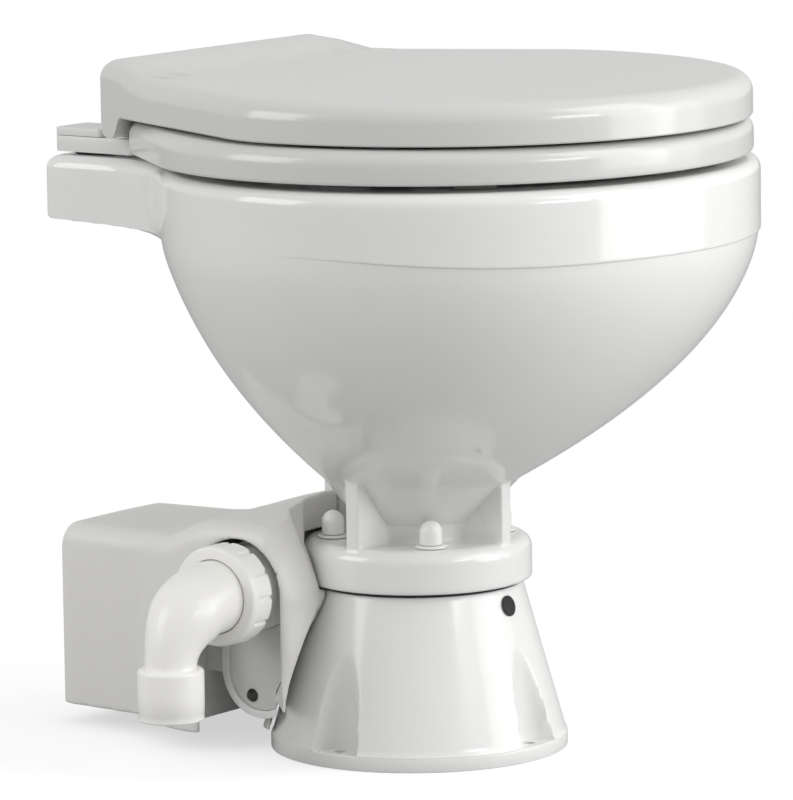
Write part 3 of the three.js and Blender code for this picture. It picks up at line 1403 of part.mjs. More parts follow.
// Hinges: a block bolted through the shelf, a pin, and a snap cap over the bolt
function makeHinges() {
  const middle = hingeMiddle();
  const halfWidth = (blockOuterReach - blockInnerReach) / 2;
  const headSeat = blockTop - hingeBoltHeadThickness - gap;
  const nutHigh = rimTop - shelfThickness + nutPocketDepth - gap;
  const nutLow = nutHigh - hingeNutThickness;
  for (const side of [-1, 1]) {
    const name = sideName(side);
    const x = side * middle;
    const atBolt = (geometry) => solidOf(geometry.translate(x, hingeBoltReach, 0));
    let body = solidOf(roundedPlate(
      x - halfWidth, x + halfWidth, blockFrontReach, blockRearReach, blockBottom, blockTop, blockRounding,
    ));
    const post = new THREE.Shape();
    post.moveTo(-knuckleRadius, blockTop - hingeHeight - overlap);
    post.lineTo(knuckleRadius, blockTop - hingeHeight - overlap);
    post.lineTo(knuckleRadius, 0);
    post.absarc(0, 0, knuckleRadius, 0, halfTurn);
    post.closePath();
    body = body.add(solidOf(acrossHinge(post, side, knuckleInner, knuckleOuter)));
    body = body.subtract(atBolt(turnedUp(
      rodProfile(hingeBoltRadius + gap, blockBottom - overrun, blockTop), smallSides,
    )));
    body = body.subtract(atBolt(turnedUp(
      rodProfile(hingeBoltHeadRadius + gap, headSeat, blockTop + overrun), smallSides,
    )));
    const pinLow = Math.min(side * pinInner, side * pinOuter);
    const pinHigh = Math.max(side * pinInner, side * pinOuter);
    body = body.subtract(solidOf(alongHinge(
      turnedAcross(rodProfile(pinRadius + gap, pinLow - overrun, pinHigh + overrun), smallSides),
    )));
    piece(`hinge_block_${name}`, body, moulded);
    const pin = turnedAcross(rodProfile(pinRadius, pinLow, pinHigh), smallSides);
    piece(`hinge_pin_${name}`, solidOf(alongHinge(pin)), steel);
    const washerLow = rimTop + gap;
    const washerHigh = washerLow + hingeWasherThickness;
    piece(`hinge_washer_${name}`, atBolt(turnedUp(
      tubeProfile(hingeWasherRadius, hingeBoltRadius + gap, washerLow, washerHigh), smallSides,
    )), blackRubber);
    const head = turnedUp(rodProfile(hingeBoltHeadRadius, headSeat + gap, blockTop), smallSides);
    const shankLow = nutLow - hingeBoltTail;
    const shank = turnedUp(rodProfile(hingeBoltRadius, shankLow, headSeat + gap * 2), smallSides);
    piece(`hinge_bolt_${name}`, atBolt(head).add(atBolt(shank)), steel);
    const nutBore = rodProfile(hingeBoltRadius + gap, nutLow - overrun, nutHigh + overrun);
    const nut = atBolt(turnedUp(rodProfile(hingeNutRadius, nutLow, nutHigh), hexSides));
    piece(`hinge_nut_${name}`, nut.subtract(atBolt(turnedUp(nutBore, smallSides))), pipeWhite);
    const capLow = blockTop + gap;
    const cap = roundedPlate(
      x - halfWidth, x + halfWidth, hingeCapFrontReach, blockRearReach, capLow, capLow + hingeCapThickness,
      blockRounding,
    );
    piece(`hinge_cap_${name}`, solidOf(cap), satinGrey);
  }
}

// Hose tail for the rinse water at the back of the shelf
function makeRinseInlet() {
  const hexEnd = rinseFace + rinseHexThickness;
  const end = hexEnd + rinseTailLength;
  const profile = [
    [rinseBoreRadius, rinseSpigotStart], [rinseSpigotRadius, rinseSpigotStart],
    [rinseSpigotRadius, rinseFace], [rinseHexRadius, rinseFace], [rinseHexRadius, hexEnd], [rinseRadius, hexEnd],
    [rinseRadius, hexEnd + rinseTailLength / 2], [rinseRadius + rinseBarb, hexEnd + rinseTailLength / 2],
    [rinseRadius, end], [rinseBoreRadius, end], [rinseBoreRadius, rinseSpigotStart],
  ];
  piece('rinse_inlet', solidOf(turnedBack(profile, smallSides).translate(0, 0, rinseHeight)), satinGrey);
}

makePedestal();
makePlug();
makeGasket();
makeBowl();
makeBowlFixings();
makeSump();
makePumpHousing();
makeMotorPlate();
makeMotor();
makeImpeller();
makeUnion();
makeCover();
makeLid();
makeSeat();
makeHinges();
makeRinseInlet();

export default group;
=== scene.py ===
"""Surfaces, materials and studio of a compact electric marine toilet, laid out as a Blender add-on."""

import json
import math

import bpy
from mathutils import Matrix, Vector


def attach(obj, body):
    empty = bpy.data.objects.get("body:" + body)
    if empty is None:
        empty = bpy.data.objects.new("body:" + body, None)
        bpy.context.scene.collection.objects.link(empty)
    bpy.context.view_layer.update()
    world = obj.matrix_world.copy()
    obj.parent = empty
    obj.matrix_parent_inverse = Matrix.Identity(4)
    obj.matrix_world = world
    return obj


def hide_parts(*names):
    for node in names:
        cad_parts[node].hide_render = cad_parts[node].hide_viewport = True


bl_info = {
    "name": "Electric Marine Toilet",
    "version": (1, 0, 0),
    "blender": (4, 5, 0),
    "location": "3D View > Sidebar > Marine Toilet",
    "description": "Builds the surfaces, materials and studio of a compact electric marine toilet",
    "category": "Object",
}

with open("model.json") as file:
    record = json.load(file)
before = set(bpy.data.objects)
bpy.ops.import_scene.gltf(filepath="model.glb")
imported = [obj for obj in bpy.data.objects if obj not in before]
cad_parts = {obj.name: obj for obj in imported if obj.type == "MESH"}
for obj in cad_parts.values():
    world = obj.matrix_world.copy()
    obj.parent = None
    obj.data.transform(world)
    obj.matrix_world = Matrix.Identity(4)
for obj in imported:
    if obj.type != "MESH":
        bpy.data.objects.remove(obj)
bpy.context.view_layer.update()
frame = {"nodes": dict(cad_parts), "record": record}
MM = 0.001
FULL = 2 * math.pi
QUARTER = math.pi / 2


def mix(low, high, share):
    return low + (high - low) * share


def smooth_step(low, high, value):
    share = min(max((value - low) / (high - low), 0.0), 1.0)
    return share * share * (3 - 2 * share)


def soft_max(a, b, width):
    """Larger of two numbers, blended where they are within width of each other."""
    share = max(width - abs(a - b), 0.0) / width
    return max(a, b) + share * share * width / 4


def soft_min(a, b, width):
    return -soft_max(-a, -b, width)


def arc(steps, start=0.0, end=QUARTER):
    """Evenly spaced angles, both ends included."""
    return [mix(start, end, i / steps) for i in range(steps + 1)]


def rounded(radius, steps):
    """How far in and how far down the points of a rounded edge lie, from its side to its top."""
    return [(radius * (1 - math.cos(angle)), radius * (1 - math.sin(angle))) for angle in arc(steps)]


# Settings, all lengths in metres


def length(label, text, value):
    return bpy.props.FloatProperty(name=label, description=text, default=value, unit="LENGTH", precision=5)


def number(label, text, value):
    return bpy.props.FloatProperty(name=label, description=text, default=value)


class TOILET_PG_bowl(bpy.types.PropertyGroup):
    """Sizes of the bowl and its neck"""

    flange_radius: length("Flange radius", "Outer radius of the round flange", 0.063)
    flange_low: length("Flange underside", "Height of the flange's underside", 0.0935)
    flange_high: length("Flange top", "Height of the flange's top", 0.117)
    flange_rounding: length("Flange rounding", "Rounding of the flange's top edge", 0.007)
    core_radius: length("Core radius", "Radius of the neck above the flange", 0.033)
    body_low: length("Body start", "Height where the body starts", 0.150)
    body_start_radius: length("Body start radius", "Radius of the body at its start", 0.0545)
    body_start_shift: length("Body start shift", "Shift towards the front at its start", 0.0042)
    body_high: length("Body end", "Height of the crease under the rim band", 0.2905)
    crease_drop: length("Crease drop", "Drop of the crease towards the front", 0.0055)
    rim_high: length("Rim top", "Height of the rim's top", 0.325)
    rim_half_width: length("Rim half-width", "Half-width of the rim band", 0.1728)
    rim_half_length: length("Rim half-length", "Half-length of the rim band", 0.1578)
    rim_shift: length("Rim shift", "Shift of the rim towards the front", 0.0318)
    rim_rounding: length("Rim rounding", "Rounding of the rim's top edge", 0.007)
    band_step: length("Band step", "Step from the body out to the band", 0.0012)
    lip_half_width: length("Lip half-width", "Half-width of the opening", 0.127)
    lip_half_length: length("Lip half-length", "Half-length of the opening", 0.112)
    wall: length("Wall", "Wall thickness of the bowl", 0.009)
    throat_radius: length("Throat radius", "Radius of the outlet", 0.021)
    rib_reach: length("Rib reach", "Reach of the neck's ribs", 0.060)
    rib_thickness: length("Rib thickness", "Thickness of the neck's ribs", 0.009)
    shelf_half_width: length("Shelf half-width", "Half-width of the hinge shelf", 0.092)
    shelf_rear: length("Shelf rear", "Reach of the hinge shelf", 0.184)
    shelf_low: length("Shelf underside", "Height of the shelf's underside at its rear edge", 0.290)


class TOILET_PG_lid(bpy.types.PropertyGroup):
    """Sizes of the seat and the lid"""

    shift: length("Shift", "Shift of the widest line towards the front", 0.0239)
    seat_half_width: length("Seat half-width", "Half-width of the seat", 0.1703)
    seat_front: length("Seat front", "Length in front of the widest line", 0.1632)
    seat_rear: length("Seat rear", "Length behind the widest line", 0.156)
    seat_tab: length("Seat tab", "Half-width of the seat's rear tab", 0.091)
    seat_reach: length("Seat reach", "Reach of the seat's rear tab", 0.1255)
    seat_low: length("Seat underside", "Height of the seat's underside", 0.3288)
    seat_high: length("Seat top", "Height of the seat's top", 0.3472)
    seat_rounding: length("Seat rounding", "Rounding of the seat's upper edges", 0.008)
    hole_half_width: length("Opening half-width", "Half-width of the seat's opening", 0.106)
    hole_front: length("Opening front", "Length of the opening to the front", 0.122)
    hole_rear: length("Opening rear", "Length of the opening to the rear", 0.106)
    lid_half_width: length("Lid half-width", "Half-width of the lid", 0.1644)
    lid_front: length("Lid front", "Length in front of the widest line", 0.1652)
    lid_rear: length("Lid rear", "Length behind the widest line", 0.110)
    lid_tab: length("Lid tab", "Half-width of the lid's rear tab", 0.0913)
    lid_reach: length("Lid reach", "Reach of the lid's rear tab", 0.1435)
    lid_low: length("Lid underside", "Height of the lid's lower edge", 0.3488)
    lid_high: length("Lid top", "Height of the lid's top", 0.3712)
    lid_rise: length("Lid rise", "Rise of the lid's top over the tab", 0.0083)
    lid_rise_length: length("Lid rise length", "Length over which the top rises", 0.048)
    lid_rounding: length("Lid rounding", "Rounding of the lid's upper edge", 0.0104)
    lid_wall: length("Lid wall", "Wall thickness of the lid", 0.0045)
    hinge_y: length("Hinge reach", "Reach of the hinge axis", 0.1395)
    hinge_z: length("Hinge height", "Height of the hinge axis", 0.348)


class TOILET_PG_base(bpy.types.PropertyGroup):
    """Sizes of the pedestal, the union and the motor cover"""

    foot_radius: length("Foot radius", "Radius of the foot", 0.0818)
    foot_height: length("Foot height", "Height of the foot's rim", 0.008)
    top_radius: length("Top radius", "Radius of the pedestal's top", 0.0578)
    top_height: length("Pedestal height", "Height of the pedestal", 0.0915)
    wall: length("Pedestal wall", "Wall thickness of the pedestal", 0.006)
    scallop_half_width: length("Pocket half-width", "Half-width of a screw pocket", 0.0145)
    scallop_depth: length("Pocket depth", "Depth of a screw pocket", 0.015)
    anchor_circle: length("Hole circle radius", "Radius of the circle of foot holes", 0.0733)
    union_y: length("Union reach", "Reach of the union's axis", 0.058)
    union_z: length("Union height", "Height of the union's axis", 0.0929)
    nut_face: length("Nut face", "Distance of the nut's face from the middle", 0.1084)
    nut_radius: length("Nut radius", "Outer radius of the nut", 0.0275)
    nut_depth: length("Nut depth", "Depth of the nut", 0.017)
    spigot_radius: length("Spigot radius", "Outer radius of the elbow at the nut", 0.020)
    bend_start: length("Bend start", "Distance of the bend's start from the middle", 0.113)
    leg_x: length("Leg distance", "Distance of the elbow's leg from the middle", 0.147)
    leg_radius: length("Leg radius", "Outer radius of the elbow's leg", 0.014)
    leg_end: length("Leg end", "Height of the elbow's lower end", 0.032)
    collar_radius: length("Collar radius", "Outer radius of the collar", 0.018)
    collar_height: length("Collar height", "Height of the collar", 0.028)
    motor_x: length("Motor shift", "Shift of the cover's middle plane", 0.015)
    cover_wall: length("Cover wall", "Wall thickness of the motor cover", 0.003)
    cover_low: length("Cover underside", "Height of the cover's lower edge", 0.011)
    arch_radius: length("Arch radius", "Radius of the arch in the cover", 0.0285)


class TOILET_PG_studio(bpy.types.PropertyGroup):
    """Light and background of the studio"""

    key_power: number("Key power", "Power of the broad light in front", 9.0)
    highlight_power: number("Highlight power", "Power of the small light that the rims mirror", 2.5)
    side_power: number("Side power", "Power of the soft light on the left of the bowl", 3.7)
    fill_power: number("Fill power", "Power of the soft light on the elbow's side", 10.0)
    top_power: number("Top power", "Power of the soft light above", 9.2)
    ambient: number("Ambient", "Strength of the white surroundings", 0.66)


# Shader building


class Value:
    """A shader socket that takes part in plain arithmetic."""

    def __init__(self, tree, socket):
        self.tree = tree
        self.socket = socket

    def _join(self, operation, first, second=None):
        inputs = {0: first}
        if second is not None:
            inputs[1] = second
        return self.tree.node("ShaderNodeMath", {"operation": operation}, inputs)[0]

    def __add__(self, other):
        return self._join("ADD", self, other)

    def __radd__(self, other):
        return self._join("ADD", other, self)

    def __sub__(self, other):
        return self._join("SUBTRACT", self, other)

    def __rsub__(self, other):
        return self._join("SUBTRACT", other, self)

    def __mul__(self, other):
        return self._join("MULTIPLY", self, other)

    def __rmul__(self, other):
        return self._join("MULTIPLY", other, self)

    def __truediv__(self, other):
        return self._join("DIVIDE", self, other)

    def __rtruediv__(self, other):
        return self._join("DIVIDE", other, self)


class Tree:
    """A node tree in which every node is made by one method."""

    def __init__(self, tree):
        self.tree = tree
        tree.nodes.clear()

    def node(self, kind, settings=None, inputs=None):
        """Adds a node and returns its outputs as values, by index or name."""
        made = self.tree.nodes.new(kind)
        for key, setting in (settings or {}).items():
            setattr(made, key, setting)
        for key, given in (inputs or {}).items():
            if isinstance(given, Value):
                self.tree.links.new(given.socket, made.inputs[key])
            else:
                made.inputs[key].default_value = given
        outputs = {i: Value(self, socket) for i, socket in enumerate(made.outputs)}
        outputs.update({socket.name: Value(self, socket) for socket in made.outputs if socket.enabled})
        return outputs

    def colour_mix(self, factor, first, second):
        inputs = {0: factor, 6: first, 7: second}
        return self.node("ShaderNodeMix", {"data_type": "RGBA"}, inputs)[2]

    def place(self):
        return self.node("ShaderNodeTexCoord")["Object"]

    def noise(self, scale, detail=3.0):
        inputs = {"Vector": self.place(), "Scale": scale, "Detail": detail}
        return self.node("ShaderNodeTexNoise", None, inputs)[0]

    def bump(self, strength, distance, height):
        inputs = {"Strength": strength, "Distance": distance, "Height": height}
        return self.node("ShaderNodeBump", None, inputs)[0]

    def surface(self, inputs):
        self.finish(self.node("ShaderNodeBsdfPrincipled", None, inputs)[0])

    def finish(self, shader):
        self.node("ShaderNodeOutputMaterial", None, {"Surface": shader})


def rgba(colour):
    return (*colour, 1.0)


def shade(colour, factor):
    return rgba([part * factor for part in colour])


def new_material(name):
    material = bpy.data.materials.new(name)
    material.use_nodes = True
    return material, Tree(material.node_tree)


def moulded(name, colour, roughness, coat, grain, grain_depth, wave=0.0):
    """Glazed or moulded surface: faint tint clouds, uneven gloss and a fine skin."""
    material, tree = new_material(name)
    clouds = tree.noise(9.0, 4.0)
    specks = tree.noise(160.0, 2.0)
    tint = tree.colour_mix(clouds * 0.7 + specks * 0.3, shade(colour, 0.975), shade(colour, 1.02))
    gloss = roughness * 0.85 + clouds * (roughness * 0.25) + specks * 0.02
    skin = tree.noise(grain, 2.0)
    if wave:
        skin = skin + tree.noise(38.0, 1.0) * wave
    inputs = {"Base Color": tint, "Roughness": gloss, "Normal": tree.bump(0.6, grain_depth, skin)}
    tree.surface(inputs | {"IOR": 1.5, "Coat Weight": coat, "Coat Roughness": 0.04})
    return material


def metal(name, colour, roughness):
    """Turned or drawn metal with fine drawn lines."""
    material, tree = new_material(name)
    stretched = tree.node(
        "ShaderNodeVectorMath", {"operation": "MULTIPLY"}, {0: tree.place(), 1: (40.0, 40.0, 1500.0)}
    )["Vector"]
    lines = tree.node("ShaderNodeTexNoise", None, {"Vector": stretched, "Scale": 1.0, "Detail": 3.0})[0]
    spots = tree.noise(220.0)
    tint = tree.colour_mix(spots, shade(colour, 0.85), shade(colour, 1.1))
    bump = tree.bump(0.3, 0.00005, lines)
    uneven = roughness + lines * 0.15
    tree.surface({"Base Color": tint, "Roughness": uneven, "Metallic": 1.0, "Normal": bump})
    return material


def rubber(name, colour):
    """Matt rubber with a dusty bloom."""
    material, tree = new_material(name)
    bloom = tree.noise(120.0, 4.0)
    tint = tree.colour_mix(bloom, rgba(colour), shade(colour, 1.7))
    bump = tree.bump(0.5, 0.00008, tree.noise(1400.0))
    tree.surface({"Base Color": tint, "Roughness": 0.62 + bloom * 0.25, "Normal": bump})
    return material


# Colour, roughness, clear coat, fineness and depth of the skin's grain, and waviness
MATERIAL_MAKERS = {
    "bowl_glaze": lambda name: moulded(name, (0.79, 0.79, 0.775), 0.13, 0.35, 700.0, 0.00001, 0.8),
    "lid_gloss": lambda name: moulded(name, (0.63, 0.63, 0.615), 0.2, 0.25, 800.0, 0.00001, 0.6),
    "pedestal_gloss": lambda name: moulded(name, (0.785, 0.785, 0.775), 0.22, 0.25, 800.0, 0.00001, 0.6),
    "cover_satin": lambda name: moulded(name, (0.73, 0.722, 0.70), 0.42, 0.0, 1500.0, 0.00003),
    "hinge_plastic": lambda name: moulded(name, (0.70, 0.70, 0.69), 0.3, 0.1, 1200.0, 0.00002),
    "pump_plastic": lambda name: moulded(name, (0.78, 0.78, 0.77), 0.4, 0.0, 1500.0, 0.00003),
    "chamber_dark": lambda name: moulded(name, (0.60, 0.60, 0.59), 0.35, 0.1, 1500.0, 0.00003),
    "pipe_white": lambda name: moulded(name, (0.90, 0.89, 0.855), 0.3, 0.1, 1100.0, 0.00002, 0.5),
    "union_white": lambda name: moulded(name, (0.88, 0.872, 0.84), 0.34, 0.1, 1300.0, 0.00002),
    "fixing_white": lambda name: moulded(name, (0.82, 0.82, 0.805), 0.3, 0.1, 1300.0, 0.00002),
    "inlet_grey": lambda name: moulded(name, (0.2, 0.2, 0.2), 0.4, 0.0, 1300.0, 0.00002),
    "black_rubber": lambda name: rubber(name, (0.012, 0.012, 0.012)),
    "bumper_rubber": lambda name: rubber(name, (0.2, 0.2, 0.195)),
    "steel": lambda name: metal(name, (0.6, 0.6, 0.6), 0.25),
    "dark_steel": lambda name: metal(name, (0.09, 0.085, 0.08), 0.35),
    "copper": lambda name: metal(name, (0.62, 0.3, 0.14), 0.3),
    "magnet": lambda name: metal(name, (0.06, 0.06, 0.065), 0.6),
}


def material_of(slot):
    """The material of one of the record's slots, made when it is first asked for."""
    name = slot + "_look"
    return bpy.data.materials.get(name) or MATERIAL_MAKERS[slot](name)


# Mesh building


def grid_faces(count, levels, wrapped):
    faces = []
    for level in range(levels if wrapped else levels - 1):
        here = level * count
        above = ((level + 1) % levels) * count
        for i in range(count):
            after = (i + 1) % count
            faces.append((here + i, here + after, above + after, above + i))
    return faces


def loft_mesh(name, rings, wrapped=False):
    """Mesh through rings of equal counts, joined last to first or capped at both ends."""
    count = len(rings[0])
    mesh = bpy.data.meshes.new(name)
    faces = grid_faces(count, len(rings), wrapped)
    if not wrapped:
        faces.append(tuple(reversed(range(count))))
        faces.append(tuple(range((len(rings) - 1) * count, len(rings) * count)))
    mesh.from_pydata([point for ring in rings for point in ring], [], faces)
    mesh.validate()
    outward(mesh)
    return mesh


def outward(mesh):
    """Turns the faces so that the enclosed volume is positive."""
    volume = 0.0
    mesh.calc_loop_triangles()
    for triangle in mesh.loop_triangles:
        a, b, c = (mesh.vertices[i].co for i in triangle.vertices)
        volume += a.dot(b.cross(c))
    if volume < 0:
        mesh.flip_normals()


def box_mesh(name, low, high):
    corners = [(x, y, z) for z in (low[2], high[2]) for x, y in (
        (low[0], low[1]), (high[0], low[1]), (high[0], high[1]), (low[0], high[1])
    )]
    return loft_mesh(name, [corners[:4], corners[4:]])


def turned_rings(profile, count):
    """Rings of a turned shape about the Z axis through the origin."""
    rings = []
    for radius, height in profile:
        ring = []
        for i in range(count):
            angle = FULL * i / count
            ring.append((radius * math.cos(angle), radius * math.sin(angle), height))
        rings.append(ring)
    return rings


def along_x(rings, y, z):
    """Turns rings made about the Z axis to lie about an axis along X."""
    return [[(point[2], y + point[1], z + point[0]) for point in ring] for ring in rings]


def along_y(rings, x, z):
    return [[(x + point[0], point[2], z + point[1]) for point in ring] for ring in rings]


def upright_bar(name, radius, low, high, x, y, count):
    """Round bar along Z at a place."""
    return loft_mesh(name, shifted(turned_rings([(radius, low), (radius, high)], count), x, y))


def shifted(rings, x, y):
    return [[(point[0] + x, point[1] + y, point[2]) for point in ring] for ring in rings]


def helper_object(name, mesh):
    made = bpy.data.objects.new(name, mesh)
    bpy.context.scene.collection.objects.link(made)
    return made


def joined(name, meshes):
    """One helper object that holds several meshes."""
    points = []
    faces = []
    for mesh in meshes:
        start = len(points)
        points.extend(vertex.co.copy() for vertex in mesh.vertices)
        faces.extend(tuple(start + i for i in polygon.vertices) for polygon in mesh.polygons)
        bpy.data.meshes.remove(mesh)
    together = bpy.data.meshes.new(name)
    together.from_pydata(points, [], faces)
    return helper_object(name, together)


def applied(shown):
    """Bakes an object's modifiers into its mesh."""
    bpy.context.view_layer.update()
    graph = bpy.context.evaluated_depsgraph_get()
    baked = bpy.data.meshes.new_from_object(shown.evaluated_get(graph))
    shown.modifiers.clear()
    previous = shown.data
    shown.data = baked
    bpy.data.meshes.remove(previous)
    return shown


def combined(shown, other, operation, self_union=False):
    """Combines one closed mesh object with another, which is removed."""
    change = shown.modifiers.new("Combine", "BOOLEAN")
    change.operation = operation
    change.solver = "EXACT"
    change.use_self = self_union
    change.object = other
    applied(shown)
    bpy.data.objects.remove(other)
    return shown


def cut(shown, cutter, self_union=False):
    return combined(shown, cutter, "DIFFERENCE", self_union)


def fused(shown, other):
    return combined(shown, other, "UNION")


def common(name, first, second):
    """The common part of two closed meshes."""
    return combined(helper_object(name, first), helper_object(name, second), "INTERSECT")


def taken_mesh(shown):
    """The mesh of a helper object that is no longer needed."""
    mesh = shown.data
    bpy.data.objects.remove(shown)
    return mesh


def softened(shown, voxel, rounds):
    """Rebuilds a joined shape as one skin and rounds its edges."""
    remesh = shown.modifiers.new("Skin", "REMESH")
    remesh.mode = "VOXEL"
    remesh.voxel_size = voxel
    smooth = shown.modifiers.new("Round", "SMOOTH")
    smooth.iterations = rounds
    smooth.factor = 0.5
    return applied(shown)


def finished(shown, name, body, slot, replaced, crease=40.0):
    """Names, shades and hands over a piece."""
    shown.name = name
    mesh = shown.data
    mesh.name = name
    mesh.materials.clear()
    mesh.materials.append(material_of(slot))
    mesh.shade_smooth()
    mesh.set_sharp_from_angle(angle=math.radians(crease))
    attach(shown, body)
    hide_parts(replaced)


def piece(name, mesh, body, slot, replaced, crease=40.0):
    finished(helper_object(name, mesh), name, body, slot, replaced, crease)


def bevelled(shown, width, angle=30.0):
    change = shown.modifiers.new("Edge", "BEVEL")
    change.width = width
    change.segments = 3
    change.limit_method = "ANGLE"
    change.angle_limit = math.radians(angle)
    change.use_clamp_overlap = True
    return shown


# Bowl

# Lengths in metres, here and in the next sections; AXIS is the least radius of a turned shape
GAP = 0.0003
AXIS = 0.00005
SMALL_EDGE = 0.0004
EDGE = 0.0008
# Curves of the body and of the space inside it
BODY_FULLNESS = 0.81
LEAN_FULLNESS = 1.33
INNER_START = 0.1
INNER_FULL = 0.3
THROAT_HEIGHT = 0.034
THROAT_EASE = 1.4
THROAT_LIP = 0.005
# Hinge shelf and the gusset under it
SHELF_ROOT = 0.096
GUSSET_REACH = 0.028
GUSSET_HEIGHT = 0.014
SHELF_STEP = 0.002
SHELF_EDGE = 0.003
SHELF_SQUARENESS = 60
ROOT_BLEND = 0.004
SHELF_BLEND = 0.040
# Crease between the body and the band, which fades towards the rear and drops towards the front
FADE_SHARE = 0.6
FADE_REAR = -0.105
FADE_FRONT = -0.03
FLARE_ABOVE = 0.028
BAND_BLEND = 0.004
BAND_GAP = 0.0004
BAND_ROUNDING = 0.0012
DROP_START = -0.04
DROP_END = -0.165
# Lip of the opening and the hollow under the rim
LIP_THICKNESS = 0.006
LIP_EDGE = 0.003
LIP_DEPTH = 0.023
LIP_ROOT = 0.016
RIM_DEPTH = 0.014
RIM_HOLLOW = 0.004
# Core and ribs of the neck
CORE_SINK = 0.006
CORE_EASE = 2.2
CORE_SHARE = 0.2
CORE_INSET = 0.0011
RIB_SINK = 0.008
RIB_HEIGHT = 0.046
# Places of the holes, and their radius and both ends
HINGE_BOLT = (0.07, 0.165)
BOLT_HOLE = (0.0043, 0.26, 0.33)
NUT_POCKET = (0.012, 0.28, 0.306)
INLET_HOLE = (0.0083, 0.108, 0.19)
INLET_HEIGHT = 0.305
STUD_INSET = 0.0165
STUD_HOLE = (0.0033, 0.085, 0.125)
# Hollow that clears the bowl's own wall inside the neck
THROAT_LOW = 0.08
THROAT_ROOM = 0.0025
HOLLOW_ROOM = 0.0035
NECK_VOXEL = 0.001


def oval_ring(half_width, half_length, middle, height, count):
    ring = []
    for i in range(count):
        angle = FULL * i / count
        ring.append((half_width * math.cos(angle), middle + half_length * math.sin(angle), height))
    return ring


def body_oval(sizes, share, wall=0.0):
    """Half-width, half-length, middle and height of the bowl's body at a share of its height."""
    grown = share * (1 + BODY_FULLNESS * (1 - share))
    width = mix(sizes.body_start_radius, sizes.rim_half_width - sizes.band_step, grown) - wall
    depth = mix(sizes.body_start_radius, sizes.rim_half_length - sizes.band_step, grown) - wall
    middle = -mix(sizes.body_start_shift, sizes.rim_shift, share * (1 + LEAN_FULLNESS * (1 - share)))
    return width, depth, middle, mix(sizes.body_low, sizes.body_high, share)


def inner_ovals(sizes, steps, grown=0.0):
    """Ovals of the space inside the bowl, from the throat up to the band."""
    start = body_oval(sizes, INNER_START, sizes.wall * 2)
    throat_top = sizes.flange_low + THROAT_HEIGHT
    ovals = []
    for share in [i / 8 for i in range(8)]:
        eased = share**THROAT_EASE
        width = mix(sizes.throat_radius, start[0], eased)
        depth = mix(sizes.throat_radius, start[1], eased)
        middle = mix(0.0, start[2], share)
        ovals.append((width + grown, depth + grown, middle, mix(throat_top, start[3], share)))
    for step in range(steps + 1):
        share = mix(INNER_START, 1.0, step / steps)
        wall = mix(sizes.wall * 2, sizes.wall, smooth_step(INNER_START, INNER_FULL, share))
        width, depth, middle, height = body_oval(sizes, share, wall)
        ovals.append((width + grown, depth + grown, middle, height))
    return ovals


def bowl_turns():
    """Directions round the bowl's middle, closest together at the shelf's corners."""
    turns = []
    for start, end, count in ((-90.0, 30.0, 48), (30.0, 61.0, 26), (61.0, 71.0, 34), (71.0, 90.0, 12)):
        turns += [mix(start, end, i / count) for i in range(count)]
    half = [math.radians(turn) for turn in turns + [90.0]]
    return half + [math.pi - angle for angle in reversed(half[1:-1])]


BOWL_TURNS = bowl_turns()


def shelf_reach(sizes, height):
    """How far the hinge shelf reaches back at a height, zero below its root."""
    root = sizes.shelf_low - SHELF_STEP
    start = root - GUSSET_HEIGHT
    underside = SHELF_ROOT + GUSSET_REACH
    edge = sizes.shelf_rear - SHELF_EDGE
    if height <= start:
        return 0.0
    if height < root:
        share = (height - start) / GUSSET_HEIGHT
        return SHELF_ROOT + GUSSET_REACH * (1 - math.sqrt(1 - share * share))
    if height < sizes.shelf_low:
        return mix(underside, edge, (height - root) / SHELF_STEP)
    rise = min((height - sizes.shelf_low) / SHELF_EDGE, 1.0)
    return edge + SHELF_EDGE * math.sqrt(1 - (1 - rise) ** 2)


def shelf_distance(sizes, angle, inset, reach, middle):
    """Distance from the bowl's middle to the shelf's outline, a rectangle with rounded corners."""
    if math.sin(angle) <= 0:
        return 0.0
    sideways = abs(math.cos(angle)) / (sizes.shelf_half_width - inset)
    back = math.sin(angle) / (reach - inset - middle)
    return (sideways**SHELF_SQUARENESS + back**SHELF_SQUARENESS) ** (-1 / SHELF_SQUARENESS)


def faded_crease(sizes, angle, distance, centre, height):
    """Distance to the outer face, where the crease under the band fades away towards the rear."""
    share = (height - sizes.body_low) / (sizes.body_high - sizes.body_low)
    width, depth, middle = body_oval(sizes, min(share, 1.0))[:3]
    step = sizes.band_step * smooth_step(FADE_SHARE, 1.0, share)
    sine = math.sin(angle)
    body = 1 / math.hypot(math.cos(angle) / (width + step), sine / (depth + step))
    body += (middle - centre) * sine + FLARE_ABOVE * max(share - 1.0, 0.0)
    band = 1 / math.hypot(math.cos(angle) / sizes.rim_half_width, sine / sizes.rim_half_length)
    band -= (sizes.rim_shift + centre) * sine
    blended = soft_min(body, band, BAND_BLEND)
    return mix(distance, blended, smooth_step(FADE_REAR, FADE_FRONT, centre + band * sine))


def bowl_ring(sizes, oval, reach, inset, drop, faded):
    """Oval with the shelf blended into its rear, lower towards the front by a drop."""
    width, depth, middle, height = oval
    blend = mix(ROOT_BLEND, SHELF_BLEND, smooth_step(SHELF_ROOT, SHELF_ROOT + GUSSET_REACH, reach))
    ring = []
    for angle in BOWL_TURNS:
        distance = 1 / math.hypot(math.cos(angle) / (width - inset), math.sin(angle) / (depth - inset))
        if faded:
            distance = faded_crease(sizes, angle, distance, middle, height)
        if reach > SHELF_ROOT:
            distance = soft_max(distance, shelf_distance(sizes, angle, inset, reach, middle), blend)
        y = middle + distance * math.sin(angle)
        z = height - drop * smooth_step(DROP_START, DROP_END, y)
        ring.append((distance * math.cos(angle), y, z))
    return ring


